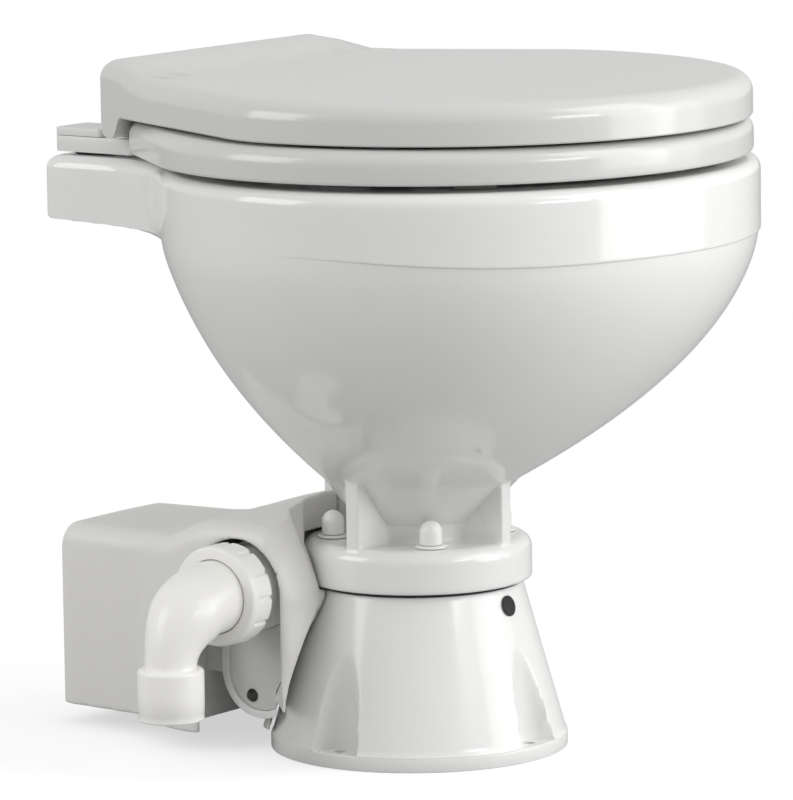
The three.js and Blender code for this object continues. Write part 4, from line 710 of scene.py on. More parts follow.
def bowl_heights(sizes):
    """Heights of the body's rings, closest together at the shelf's gusset and underside."""
    root = sizes.shelf_low - SHELF_STEP
    start = root - GUSSET_HEIGHT
    heights = [mix(sizes.body_low, start, step / 30) for step in range(30)]
    heights += [start + GUSSET_HEIGHT * math.sin(angle) for angle in arc(10)]
    heights += [mix(root, sizes.shelf_low, step / 4) for step in range(1, 5)]
    return heights + [mix(sizes.shelf_low, sizes.body_high, step / 3) for step in range(1, 4)]


def bowl_rings(sizes):
    """Rings of the bowl's wall, up its outside, over the rim and down its inside."""
    middle = -sizes.rim_shift
    top = sizes.rim_high
    rim = (sizes.rim_half_width, sizes.rim_half_length)
    rings = []

    def add(width, depth, height, centre=middle, inset=0.0, drop=0.0, shelf=False, faded=False):
        reach = shelf_reach(sizes, height) if shelf else 0.0
        rings.append(bowl_ring(sizes, (width, depth, centre, height), reach, inset, drop, faded))

    def add_lip(out, height):
        add(sizes.lip_half_width + out, sizes.lip_half_length + out, height)

    for height in bowl_heights(sizes):
        share = (height - sizes.body_low) / (sizes.body_high - sizes.body_low)
        width, depth, centre = body_oval(sizes, share)[:3]
        drop = sizes.crease_drop * share**6
        add(width, depth, height, centre, drop=drop, shelf=True, faded=share > FADE_SHARE)
    for angle in arc(4):
        out = sizes.band_step * math.sin(angle) - sizes.band_step
        height = sizes.body_high + BAND_GAP + BAND_ROUNDING * (1 - math.cos(angle))
        add(rim[0] + out, rim[1] + out, height, drop=sizes.crease_drop, shelf=True, faded=True)
    for share in (0.06, 0.25, 0.5):
        drop = sizes.crease_drop * (1 - share)
        add(*rim, mix(sizes.body_high, top, share), drop=drop, shelf=True, faded=True)
    for inset, fall in rounded(sizes.rim_rounding, 8):
        add(*rim, top - fall, inset=inset, shelf=True)
    for fall, out in rounded(LIP_THICKNESS, 8):
        add_lip(out, top - fall)
    for angle in arc(6):
        add_lip(LIP_EDGE * (1 - math.cos(angle)), top - LIP_DEPTH - LIP_EDGE * math.sin(angle))
    add_lip(LIP_THICKNESS, top - LIP_DEPTH - LIP_EDGE)
    add_lip(LIP_THICKNESS, top - LIP_ROOT)
    for fall, inset in rounded(RIM_HOLLOW, 4):
        add(*rim, top - RIM_DEPTH - fall, inset=sizes.wall + inset)
    for width, depth, centre, height in reversed(inner_ovals(sizes, 26)):
        add(width, depth, height, centre)
    throat = sizes.throat_radius
    low = sizes.flange_low + GAP
    lip = throat + THROAT_LIP
    for radius, height in ((throat, low), (lip, low), (lip, sizes.flange_high)):
        add(radius, radius, height, 0.0)
    return rings


def neck_meshes(sizes):
    """Flange, hollow-sided core and four ribs, which are joined into one skin."""
    low, high, edge = sizes.flange_low, sizes.flange_high, sizes.flange_radius
    flange = [(SMALL_EDGE, low), (edge - EDGE, low), (edge, low + EDGE)]
    flange += [(edge - inset, high - fall) for inset, fall in rounded(sizes.flange_rounding, 8)]
    flange.append((SMALL_EDGE, high))
    core = []
    for step in range(13):
        share = step / 12
        radius = mix(sizes.core_radius, sizes.body_start_radius, share**CORE_EASE)
        height = mix(high, sizes.body_low, share) - (0.0 if step else CORE_SINK)
        core.append(oval_ring(radius, radius, -sizes.body_start_shift * share, height, 96))
    for step in range(1, 9):
        share = CORE_SHARE * step / 8
        width, depth, middle, height = body_oval(sizes, share)
        inset = CORE_INSET * smooth_step(0.02, 0.12, share)
        core.append(oval_ring(width - inset, depth - inset, middle, height, 96))
    half = sizes.rib_thickness / 2
    reach = sizes.rib_reach
    foot, head = high - RIB_SINK, high + RIB_HEIGHT
    return [
        loft_mesh("flange", turned_rings(flange, 96)), loft_mesh("core", core),
        box_mesh("rib_x", (-reach, -half, foot), (reach, half, head)),
        box_mesh("rib_y", (-half, -reach, foot), (half, reach, head)),
    ]


def stud_places(sizes):
    spacing = (sizes.flange_radius - STUD_INSET) * math.sqrt(0.5)
    return [(x * spacing, y * spacing) for x, y in ((-1, -1), (1, -1), (1, 1), (-1, 1))]


def make_bowl(sizes):
    shell = helper_object("bowl_shell", loft_mesh("bowl_shell", bowl_rings(sizes), wrapped=True))
    radius, start, end = INLET_HOLE
    inlet = along_y(turned_rings([(radius, start), (radius, end)], 24), 0.0, INLET_HEIGHT)
    holes = []
    for side in (-1, 1):
        x, y = side * HINGE_BOLT[0], HINGE_BOLT[1]
        holes.append(upright_bar("bolt", *BOLT_HOLE, x, y, 24))
        holes.append(upright_bar("pocket", *NUT_POCKET, x, y, 32))
    holes.append(loft_mesh("inlet", inlet))
    cut(shell, joined("shelf_holes", holes), True)
    finished(shell, "bowl_shell", "base", "bowl_glaze", "bowl")

    neck = joined("bowl_neck", neck_meshes(sizes))
    throat = sizes.throat_radius + THROAT_ROOM
    hollow = [oval_ring(throat, throat, 0.0, THROAT_LOW, 64)]
    hollow += [oval_ring(*oval, 64) for oval in inner_ovals(sizes, 20, HOLLOW_ROOM)]
    cut(neck, helper_object("neck_hollow", loft_mesh("neck_hollow", hollow)), True)
    studs = [upright_bar("stud", *STUD_HOLE, x, y, 24) for x, y in stud_places(sizes)]
    cut(neck, joined("stud_holes", studs))
    softened(neck, NECK_VOXEL, 7)
    finished(neck, "bowl_neck", "base", "bowl_glaze", "bowl", 180.0)


# Radius and height above the underside
WASHER_PROFILE = (
    (0.0033, 0.0), (0.0085, 0.0), (0.0087, 0.0003), (0.0086, 0.0009), (0.0079, 0.0013), (0.0033, 0.0013),
)
NUT_BORE = 0.0033
NUT_RADIUS = 0.0062
NUT_SEAT = 0.0019
NUT_SIDE = 0.0066
DOME_START = 0.0068
DOME_ROOM = 0.0096
BORE_END = 0.0093


def make_fixings(sizes):
    """Domed nuts on their washers."""
    seat = sizes.flange_high + GAP
    washer = [(radius, seat + height) for radius, height in WASHER_PROFILE]
    low = sizes.flange_high + NUT_SEAT
    dome = [(NUT_BORE, low), (NUT_RADIUS - SMALL_EDGE, low), (NUT_RADIUS, low + SMALL_EDGE)]
    dome.append((NUT_RADIUS, low + NUT_SIDE))
    for angle in arc(10, 0.08, QUARTER):
        radius = max(NUT_RADIUS * math.cos(angle), AXIS)
        dome.append((radius, low + DOME_START + NUT_RADIUS * math.sin(angle)))
    dome += [(AXIS, low + DOME_ROOM), (NUT_BORE, low + BORE_END)]
    for index, (x, y) in enumerate(stud_places(sizes), 1):
        nut = loft_mesh("nut", shifted(turned_rings(dome, 48), x, y), wrapped=True)
        piece(f"domed_nut_{index}", nut, "base", "fixing_white", f"cap_nut_{index}")
        disc = loft_mesh("washer", shifted(turned_rings(washer, 48), x, y), wrapped=True)
        piece(f"flat_washer_{index}", disc, "base", "fixing_white", f"bowl_washer_{index}")


# Pedestal

# Distance inside the foot's radius, and height
FOOT_PROFILE = ((0.0008, 0.0), (0.0002, 0.0002), (0.0, 0.0008), (0.0, 0.0068), (0.0002, 0.0076))
PEDESTAL_POINTS = 360
FOOT_EDGE = 0.0007
FOOT_BORE = 0.060
POCKET_BLEND = 0.0012
POCKET_WALL = 0.004
SIDE_INSET = 0.0009
SIDE_FLARE = 0.0006
LOW_SHARE = 0.025
HIGH_SHARE = 0.985
TOP_SOFTENING = 0.0002
TOP_EDGE = 0.001
TOP_BORE = 0.0293
DECK = 0.007
# Radius and both ends of the holes
ANCHOR_HOLE = (0.0035, -0.005, 0.012)
NECK_HOLE = (0.018, 0.02, 0.09)
NECK_HEIGHT = 0.056
PLUG_HEIGHT = 0.0825
# Radius and distance out of the pedestal's side
PLUG_PROFILE = (
    (0.0039, -0.006), (0.0039, 0.0), (0.0053, 0.0), (0.0057, 0.0003), (0.0057, 0.0007), (0.0051, 0.0011),
    (0.0042, 0.0012), (0.0036, 0.0009), (0.0015, 0.0008), (0.00005, 0.0008),
)


def pedestal_radius(sizes, height):
    share = (height - sizes.foot_height) / (sizes.top_height - sizes.foot_height)
    return mix(sizes.foot_radius, sizes.top_radius, share)


def pocket_radius(sizes, angle, extra):
    """Distance of a screw pocket's wall from the pedestal's axis in a direction, or a large number."""
    turn = (angle + QUARTER / 2) % QUARTER - QUARTER / 2
    half = sizes.scallop_half_width + extra
    depth = sizes.scallop_depth + extra
    cosine = math.cos(turn)
    sine = math.sin(turn)
    a = (cosine / depth) ** 2 + (sine / half) ** 2
    b = -2 * sizes.foot_radius * cosine / depth**2
    c = (sizes.foot_radius / depth) ** 2 - 1
    root = b * b - 4 * a * c
    return 1.0 if root <= 0 else (-b - math.sqrt(root)) / (2 * a)


def pedestal_rings(sizes):
    """Rings of the pedestal's wall, up its outside, over the deck and down its inside."""
    rings = []

    def add(radius, height, pocket_extra=None):
        ring = []
        for i in range(PEDESTAL_POINTS):
            angle = FULL * i / PEDESTAL_POINTS
            reach = radius
            if pocket_extra is not None:
                reach = soft_min(radius, pocket_radius(sizes, angle, pocket_extra), POCKET_BLEND)
            ring.append((reach * math.cos(angle), reach * math.sin(angle), height))
        rings.append(ring)

    foot, top = sizes.foot_radius, sizes.top_height
    for inset, height in FOOT_PROFILE:
        add(foot - inset, height)
    add(foot - FOOT_EDGE, sizes.foot_height)
    for share in (0.0, 0.004, 0.012, LOW_SHARE):
        height = mix(sizes.foot_height, top, share)
        flare = SIDE_FLARE * (1 - share / LOW_SHARE)
        add(pedestal_radius(sizes, height) - SIDE_INSET + flare, height, 0.0)
    for step in range(1, 41):
        share = mix(LOW_SHARE, HIGH_SHARE, step / 40)
        height = mix(sizes.foot_height, top, share)
        add(pedestal_radius(sizes, height) - SIDE_INSET * (1 - share), height, 0.0)
    add(sizes.top_radius - SMALL_EDGE, top - TOP_SOFTENING)
    add(sizes.top_radius - TOP_EDGE, top)
    add(TOP_BORE, top)
    add(TOP_BORE, top - DECK)
    for step in range(9):
        height = mix(top - DECK, sizes.foot_height, step / 8)
        add(pedestal_radius(sizes, height) - sizes.wall, height, POCKET_WALL)
    add(FOOT_BORE, sizes.foot_height)
    add(FOOT_BORE, 0.0)
    return rings


def make_pedestal(sizes):
    shell = helper_object("pedestal_shell", loft_mesh("pedestal_shell", pedestal_rings(sizes), wrapped=True))
    holes = []
    for step in range(4):
        angle = QUARTER * step
        x = sizes.anchor_circle * math.cos(angle)
        y = sizes.anchor_circle * math.sin(angle)
        holes.append(upright_bar("anchor", *ANCHOR_HOLE, x, y, 32))
    radius, start, end = NECK_HOLE
    neck = along_y(turned_rings([(radius, start), (radius, end)], 48), -sizes.motor_x, NECK_HEIGHT)
    holes.append(loft_mesh("neck", neck))
    cut(shell, joined("pedestal_holes", holes))
    finished(shell, "pedestal_shell", "base", "pedestal_gloss", "pedestal", 35.0)


def make_plug(sizes):
    """Round plug, square to the pedestal's sloping side."""
    tilt = math.atan2(sizes.foot_radius - sizes.top_radius, sizes.top_height - sizes.foot_height)
    cosine, sine = math.cos(tilt), math.sin(tilt)
    reach = pedestal_radius(sizes, PLUG_HEIGHT)
    rings = []
    for ring in turned_rings(PLUG_PROFILE, 48):
        rings.append([
            (x, -reach - z * cosine + y * sine, PLUG_HEIGHT + y * cosine + z * sine) for x, y, z in ring
        ])
    piece("plug_cap", loft_mesh("plug_cap", rings), "base", "black_rubber", "vent_plug")


# Seat and lid

LID_CORNER = 0.002
SEAT_CORNER = 0.008
CORNER_SHARE = 0.4
LID_FLAT = 0.055
INNER_DROP = 0.004
PIN_HOLE = 0.0033
# Notches in the lid's rear that clear the hinge blocks
NOTCH_INNER = 0.0617
NOTCH_OUTER = 0.0804
NOTCH_FRONT = 0.127
NOTCH_REAR = 0.15
NOTCH_MARGIN = 0.01
# Lugs beside the notches, measured from the hinge axis
LUG_HOLE_END = 0.0883
LUG_PRISM = (0.015, 0.012)
LUG_BEVEL = 0.0007
LUG_LOW = 0.0113
LUG_HIGH = 0.009
LUG_NOSE = 0.018
LUG_FRONT = 0.014
LUG_TURN = 0.0055
LUG_HEEL = 0.004
HEEL_RISE = 0.0095
# The seat's two hinge arms
ARM_INNER = 0.0618
ARM_OUTER = 0.0705
ARM_HOLE = (0.060, 0.072)
ARM_BOSS = 0.0083
ARM_ROOT = 0.010
ARM_LOW = 0.3365
ARM_BELOW_TOP = 0.004
ARM_BEVEL = 0.0006
SEAT_LOW_EDGE = 0.002
OPENING_LOW_EDGE = 0.003


def touch_angle(half_width, rear, corner_x, corner_y):
    """Angle on an oval where a line from a corner behind it touches it."""
    across = corner_x / half_width
    back = corner_y / rear
    return math.atan2(back, across) - math.acos(1 / math.hypot(across, back))


def plan_ring(plan, shift, corner, height_at, inset):
    """Oval with straight sides that run to a tab at the rear, drawn in by an inset."""
    half_width, front, rear, tab, reach = plan
    first = touch_angle(half_width, rear, tab, reach + shift)
    lean = math.atan2(half_width * math.sin(first), rear * math.cos(first))
    tab -= inset * math.tan((QUARTER - lean) / 2)
    half_width -= inset
    front -= inset
    rear -= inset
    reach -= inset
    right = [
        (half_width * math.cos(turn), -shift + front * math.sin(turn)) for turn in arc(40, -QUARTER, 0.0)
    ]
    touch = touch_angle(half_width, rear, tab, reach + shift)
    right += [
        (half_width * math.cos(turn), -shift + rear * math.sin(turn)) for turn in arc(20, 0.0, touch)[1:]
    ]
    side_x, side_y = right[-1]
    share = corner / math.hypot(side_x - tab, reach - side_y)
    start_x, start_y = mix(tab, side_x, share), mix(reach, side_y, share)
    for step in range(1, 8):
        right.append((mix(side_x, start_x, step / 8), mix(side_y, start_y, step / 8)))
    for step in range(9):
        share = step / 8
        x = mix(mix(start_x, tab, share), mix(tab, tab - corner, share), share)
        right.append((x, mix(mix(start_y, reach, share), reach, share)))
    for step in range(1, 6):
        right.append((mix(tab - corner, 0.0, step / 5), reach))
    left = [(-x, y) for x, y in reversed(right[1:-1])]
    return [(x, y, height_at(y)) for x, y in right + left]


def lid_top(sizes, y):
    start = sizes.lid_reach - sizes.lid_rise_length
    return sizes.lid_high + sizes.lid_rise * smooth_step(start, sizes.lid_reach - sizes.lid_rounding, y)


def lid_ring(sizes, inset, height_at):
    plan = (sizes.lid_half_width, sizes.lid_front, sizes.lid_rear, sizes.lid_tab, sizes.lid_reach)
    return plan_ring(plan, sizes.shift, LID_CORNER, height_at, inset)


def lid_slab(sizes, inset, low, rounding, drop):
    """Rings of the lid's outer or inner skin, from its lower edge to the middle of its top."""
    rings = [lid_ring(sizes, inset + EDGE, lambda y: low), lid_ring(sizes, inset, lambda y: low + EDGE)]
    for further, fall in rounded(rounding, 10):
        rings.append(lid_ring(sizes, inset + further, lambda y, f=drop + fall: lid_top(sizes, y) - f))
    for step in range(1, 13):
        deeper = inset + rounding + LID_FLAT * step / 12
        rings.append(lid_ring(sizes, deeper, lambda y: lid_top(sizes, y) - drop))
    return rings


def side_plate(name, points, near, far):
    """Plate across X from a list of (y, z) points, between two distances on one side."""
    near, far = sorted((near, far))
    return loft_mesh(name, [[(near, y, z) for y, z in points], [(far, y, z) for y, z in points]])


def hinge_hole(sizes, near, far):
    near, far = sorted((near, far))
    rings = along_x(turned_rings([(PIN_HOLE, near), (PIN_HOLE, far)], 32), sizes.hinge_y, sizes.hinge_z)
    return loft_mesh("hole", rings)


def lug_points(sizes):
    """Outline of a hinge lug across X: a hooked front edge and a rounded rear heel."""
    y, z = sizes.hinge_y, sizes.hinge_z
    low = z - LUG_LOW
    corners = ((y - LUG_NOSE, z + EDGE), (y - LUG_FRONT, z), (y - LUG_FRONT, low), (y - LUG_TURN, low))
    points = [(y - LUG_NOSE, z + LUG_HIGH)]
    for step in range(13):
        t = step / 12
        weights = ((1 - t) ** 3, 3 * t * (1 - t) ** 2, 3 * t * t * (1 - t), t**3)
        points.append(tuple(sum(w * corner[k] for w, corner in zip(weights, corners)) for k in (0, 1)))
    for step in range(1, 9):
        t = step / 8
        points.append((mix(y - LUG_TURN, y + LUG_HEEL, 2 * t - t * t), low + HEEL_RISE * t * t))
    points.append((y + LUG_HEEL, z + LUG_HIGH))
    return points


def make_lid(sizes):
    outer = lid_slab(sizes, 0.0, sizes.lid_low, sizes.lid_rounding, 0.0)
    wall = sizes.lid_wall
    inner = lid_slab(sizes, wall, sizes.lid_low - INNER_DROP, sizes.lid_rounding - wall, wall)
    lid = helper_object("lid_shell", loft_mesh("lid_outer", outer))
    cut(lid, helper_object("lid_inner", loft_mesh("lid_inner", inner)))
    notches = []
    for side in (-1, 1):
        near, far = sorted((side * NOTCH_INNER, side * NOTCH_OUTER))
        low = (near, NOTCH_FRONT, sizes.lid_low - NOTCH_MARGIN)
        notches.append(box_mesh("notch", low, (far, NOTCH_REAR, sizes.hinge_z + NOTCH_MARGIN)))
    cut(lid, joined("lid_notches", notches), True)
    holes = []
    heights = (sizes.hinge_z - LUG_PRISM[0], sizes.hinge_z + LUG_PRISM[1])
    for side in (-1, 1):
        outline = loft_mesh("outline", [lid_ring(sizes, AXIS, lambda y, z=z: z) for z in heights])
        plate = side_plate("lug", lug_points(sizes), side * NOTCH_OUTER, side * sizes.lid_half_width)
        lug = common("lug", plate, outline)
        bevelled(lug, LUG_BEVEL, 50.0)
        fused(lid, applied(lug))
        holes.append(hinge_hole(sizes, side * NOTCH_INNER, side * LUG_HOLE_END))
    cut(lid, joined("lid_holes", holes), True)
    finished(lid, "lid_shell", "lid_body", "lid_gloss", "lid", 32.0)


def seat_ring(sizes, inset, height):
    plan = (sizes.seat_half_width, sizes.seat_front, sizes.seat_rear, sizes.seat_tab, sizes.seat_reach)
    return plan_ring(plan, sizes.shift, SEAT_CORNER - inset * CORNER_SHARE, lambda y: height, inset)


def opening_ring(sizes, outer, extra, height):
    """Oval of the seat's opening, its points in line with those of the outer ring."""
    ring = []
    for point in outer:
        angle = math.atan2(point[1] + sizes.shift, point[0])
        half = sizes.hole_half_width + extra
        depth = (sizes.hole_rear if angle > 0 else sizes.hole_front) + extra
        scale = 1 / math.hypot(math.cos(angle) / half, math.sin(angle) / depth)
        ring.append((scale * math.cos(angle), -sizes.shift + scale * math.sin(angle), height))
    return ring


def make_seat(sizes):
    low, high, rounding = sizes.seat_low, sizes.seat_high, sizes.seat_rounding
    outer = seat_ring(sizes, 0.0, high)
    rings = [seat_ring(sizes, inset, low + rise) for rise, inset in rounded(SEAT_LOW_EDGE, 4)]
    rings += [seat_ring(sizes, inset, high - fall) for inset, fall in rounded(rounding, 10)]
    rings += [opening_ring(sizes, outer, extra, high - fall) for fall, extra in rounded(rounding, 10)]
    rings += [opening_ring(sizes, outer, extra, low + rise) for extra, rise in rounded(OPENING_LOW_EDGE, 4)]
    piece("seat_ring", loft_mesh("seat_ring", rings, wrapped=True), "seat_body", "lid_gloss", "seat", 32.0)


def make_seat_arms(sizes):
    y, z = sizes.hinge_y, sizes.hinge_z
    start = sizes.seat_reach - ARM_ROOT
    points = [(start, ARM_LOW), (y, z - ARM_BOSS)]
    for angle in arc(16, -QUARTER, QUARTER):
        points.append((y + ARM_BOSS * math.cos(angle), z + ARM_BOSS * math.sin(angle)))
    points.append((start, sizes.seat_high - ARM_BELOW_TOP))
    for side, word in ((-1, "right"), (1, "left")):
        arm = helper_object("arm", side_plate("arm", points, side * ARM_INNER, side * ARM_OUTER))
        cut(arm, helper_object("hole", hinge_hole(sizes, side * ARM_HOLE[0], side * ARM_HOLE[1])))
        applied(bevelled(arm, ARM_BEVEL))
        finished(arm, f"seat_arm_{word}", "seat_body", "lid_gloss", "seat", 30.0)


# Motor cover

# In millimetres: distance to the rear, half-width, height at the edge and at the crest
COVER_SECTIONS = (
    (18, 73, 123, 139), (30, 73, 126, 140), (45, 73, 129.5, 139), (62, 73, 130.5, 136), (78, 73, 129.5, 131),
    (90, 73, 126.5, 127.5), (100, 72.5, 122, 124), (110, 70, 118, 120), (120, 64.5, 116, 117.5),
    (130, 57.5, 115, 116), (140, 52, 114.5, 115), (150, 49.5, 114.2, 114.5), (196, 46.3, 114, 114.3),
)
# Height, width and depth of the front corner, and distance behind the middle of the corner and of the fold
COVER_FRONT = (
    (5, 3, 3, 27.6, 66), (35, 3, 3, 27.6, 55), (62, 10, 6.5, 22.5, 39), (84, 24, 7, 21.5, 24),
    (92, 24, 7, 21.5, 22), (103, 24, 7, 25, 28.5), (112, 24, 7, 28.5, 34), (119, 24, 8, 32, 40),
    (150, 24, 8, 46, 50),
)
COVER_HALF_WIDTH = 73
COVER_ROUNDING = 11
COVER_PAST_REAR = 215
FOLD_HALF_WIDTH = 40
CAVITY_BELOW = 4
LEAST_CORNER = 0.5
# In metres: the room for the bowl's neck and rear rib
ROOM_LOW = 0.1182
ROOM_HIGH = 0.2
ROOM_HALF_WIDTH = 0.054
ROOM_FRONT = -0.08
ROOM_REAR = 0.0495
ROOM_CORNER = 0.024
RIB_HALF_WIDTH = 0.0057
RIB_REAR = 0.0612
# The room for the pedestal and the flange, the arch and the foot of the pump
CORE_GAP = 0.0012
CORE_LOW = -0.005
CORE_STEP = 0.0923
CORE_RADIUS = 0.063
CORE_HIGH = 0.1186
ARCH_SPAN = (-0.095, -0.084)
FOOT_ROOM_LOW = (-0.0951, 0.0, 0.0001)
FOOT_ROOM_HIGH = 0.028
COVER_VOXEL = 0.00115


def curve_through(rows, steps):
    """Rows of numbers with smooth in-between rows added."""
    made = []
    for i in range(len(rows) - 1):
        before = rows[max(i - 1, 0)]
        start, end = rows[i], rows[i + 1]
        after = rows[min(i + 2, len(rows) - 1)]
        for step in range(steps):
            t = step / steps
            row = []
            for a, b, c, d in zip(before, start, end, after):
                value = 2 * b + (c - a) * t
                value += (2 * a - 5 * b + 4 * c - d) * t**2
                value += (3 * b - a - 3 * c + d) * t**3
                row.append(0.5 * value)
            made.append(row)
    made.append(list(rows[-1]))
    return made


def cover_ring(reach, half_width, edge_top, crest, rounding, low, middle):
    left = [(-half_width, low)]
    left += [(-half_width + across, edge_top - fall) for across, fall in rounded(rounding, 8)]
    inside = half_width - rounding
    for share in (0.75, 0.5, 0.25):
        left.append((-inside * share, mix(edge_top, crest, 1 - share * share)))
    right = [(-x, z) for x, z in reversed(left)]
    return [((x - middle) * MM, reach * MM, z * MM) for x, z in left + [(0, crest)] + right]


def cover_meshes(sizes, inset):
    """Lengthwise and upright lofts whose common part is the cover's body, drawn in by an inset."""
    middle = sizes.motor_x / MM
    low = sizes.cover_low / MM - (CAVITY_BELOW if inset else 0)
    rounding = COVER_ROUNDING - inset
    rings = []
    for reach, half_width, edge_top, crest in curve_through(COVER_SECTIONS, 4):
        shape = (half_width - inset, edge_top - inset, crest - inset)
        rings.append(cover_ring(reach, *shape, rounding, low, middle))
    reach, half_width, edge_top, crest = COVER_SECTIONS[-1]
    for angle in arc(8)[1:]:
        drop = inset + rounding * (1 - math.cos(angle))
        shape = (half_width - drop, edge_top - drop, crest - drop)
        rings.append(cover_ring(reach + rounding * math.sin(angle), *shape, rounding, low, middle))
    upright = []
    half = COVER_HALF_WIDTH - inset
    for height, wide, deep, corner_reach, fold in curve_through(COVER_FRONT, 3):
        wide, deep = max(wide - inset, LEAST_CORNER), max(deep - inset, LEAST_CORNER)
        left = [(-half, COVER_PAST_REAR)]
        for angle in arc(10):
            y = corner_reach + inset + deep * (1 - math.sin(angle))
            left.append((wide * (1 - math.cos(angle)) - half, y))
        left.append((-FOLD_HALF_WIDTH, fold + inset))
        right = [(-x, y) for x, y in reversed(left)]
        upright.append([((x - middle) * MM, y * MM, height * MM) for x, y in left + right])
    return loft_mesh("cover_long", rings), loft_mesh("cover_up", upright)


def hood_room(grown):
    """Room round the bowl's neck and its rear rib, above the flange."""
    half, rear = ROOM_HALF_WIDTH + grown, ROOM_REAR + grown
    plan = [(half, ROOM_FRONT)]
    plan += [(half - across, rear - fall) for across, fall in rounded(ROOM_CORNER + grown, 10)]
    plan += [(-x, y) for x, y in reversed(plan)]
    rings = [[(x, y, z) for x, y in plan] for z in (ROOM_LOW, ROOM_HIGH)]
    room = helper_object("room", loft_mesh("room", rings))
    rib = RIB_HALF_WIDTH + grown
    slot = box_mesh("slot", (-rib, 0.0, ROOM_LOW), (rib, RIB_REAR + grown, ROOM_HIGH))
    return fused(room, helper_object("slot", slot))


def make_cover(sizes):
    cover = common("motor_cover_shell", *cover_meshes(sizes, 0))
    cavity = cut(common("cavity", *cover_meshes(sizes, sizes.cover_wall / MM)), hood_room(sizes.cover_wall))
    core = [
        (sizes.foot_radius + CORE_GAP, CORE_LOW), (sizes.foot_radius + CORE_GAP, sizes.foot_height),
        (sizes.top_radius + CORE_GAP, CORE_STEP), (CORE_RADIUS + CORE_GAP, CORE_STEP),
        (CORE_RADIUS + CORE_GAP, CORE_HIGH),
    ]
    y, radius = sizes.union_y, sizes.arch_radius
    arch = [(y - radius, 0.0)]
    for angle in arc(32, math.pi, 0.0):
        arch.append((y + radius * math.cos(angle), sizes.union_z + radius * math.sin(angle)))
    arch.append((y + radius, 0.0))
    cutters = [taken_mesh(cavity), taken_mesh(hood_room(0.0))]
    cutters.append(loft_mesh("cover_core", turned_rings(core, 144)))
    cutters.append(side_plate("cover_arch", arch, *ARCH_SPAN))
    cutters.append(box_mesh("cover_foot", FOOT_ROOM_LOW, (-sizes.motor_x, y, FOOT_ROOM_HIGH)))
    cut(cover, joined("cover_cutters", cutters), True)
    softened(cover, COVER_VOXEL, 3)
    finished(cover, "motor_cover_shell", "base", "cover_satin", "motor_cover", 180.0)


# Union nut and discharge elbow

UNION_POINTS = 288
UNION_BORE = 0.0241
UNION_LIP = 0.0035
UNION_ROUNDING = 0.0024
# Distance inside the nut's radius and behind its face
UNION_FACE = ((0.0022, 0.0), (0.0009, 0.0004), (0.0003, 0.0012), (0.0, UNION_ROUNDING))
UNION_REAR_EDGE = 0.001
UNION_REAR_INSET = 0.0008
GROOVE_COUNT = 12
GROOVE_SHARES = (0.045, 0.11)
GROOVE_DEPTH = 0.0011
GROOVE_BAND = 0.001
GROOVE_FADE = (0.004, 0.0065)
# The elbow's pipe, its mould line, and the collar and socket at its end
PIPE_POINTS = 96
PIPE_WALL = 0.003
PIPE_TAPER = (0.35, 0.95)
PIPE_IN_NUT = 0.0063
SEAM_HEIGHT = 0.00028
SEAM_WIDTH = 0.0009
COLLAR_ROUNDING = 0.0022
COLLAR_REST = 0.0002
COLLAR_INNER = 0.0003
# Height over the leg's end and distance inside the collar's radius
COLLAR_FOOT = ((0.0046, 0.0), (0.0042, 0.0003), (0.0008, 0.0002))
COLLAR_BEVEL = 0.0009
SOCKET_RADIUS = 0.0143
SOCKET_DEPTH = 0.022
# Height over the leg's end and distance outside the socket's radius
SOCKET_STEPS = ((0.0, 0.0006), (0.0006, 0.0), (SOCKET_DEPTH, 0.0))
ELBOW_FLANGE_RADIUS = 0.0233
ELBOW_FLANGE_SPAN = (-0.1051, -0.1021)
ELBOW_FLANGE_OVERLAP = 0.001


def make_union(sizes):
    """Nut with grip grooves that run out before its face."""
    face = -sizes.nut_face
    radius, bore = sizes.nut_radius, sizes.spigot_radius + SMALL_EDGE
    rear = face + sizes.nut_depth
    profile = [(bore, face + SMALL_EDGE), (sizes.spigot_radius + EDGE, face)]
    profile += [(radius - inset, face + depth) for inset, depth in UNION_FACE]
    for step in range(1, 13):
        profile.append((radius, face + mix(UNION_ROUNDING, sizes.nut_depth - UNION_REAR_EDGE, step / 12)))
    profile += [(radius - UNION_REAR_INSET, rear), (UNION_BORE, rear)]
    profile += [(UNION_BORE, face + UNION_LIP), (bore, face + UNION_LIP)]
    rings = []
    for plain, x in profile:
        ring = []
        for i in range(UNION_POINTS):
            angle = FULL * i / UNION_POINTS
            reach = plain
            if plain > radius - GROOVE_BAND:
                turn = (angle * GROOVE_COUNT / FULL + 0.5) % 1.0
                groove = 1 - smooth_step(*GROOVE_SHARES, abs(turn - 0.5))
                depth = GROOVE_DEPTH * smooth_step(*GROOVE_FADE, x - face)
                reach = plain - depth * groove
            ring.append((reach * math.cos(angle), reach * math.sin(angle), x))
        rings.append(ring)
    mesh = loft_mesh("union_ring", along_x(rings, sizes.union_y, sizes.union_z), wrapped=True)
    piece("union_ring", mesh, "nut_body", "union_white", "union_nut", 35.0)


def pipe_ring(x, z, angle, radius, y, seam=0.0):
    """Ring across the elbow's path, with a fine mould line along its plane of symmetry."""
    ring = []
    for i in range(PIPE_POINTS):
        turn = FULL * i / PIPE_POINTS
        line = max(1 - abs(math.sin(turn)) * radius / SEAM_WIDTH, 0.0)
        reach = radius + seam * line
        out = reach * math.cos(turn)
        ring.append((x - out * math.sin(angle), y + reach * math.sin(turn), z + out * math.cos(angle)))
    return ring


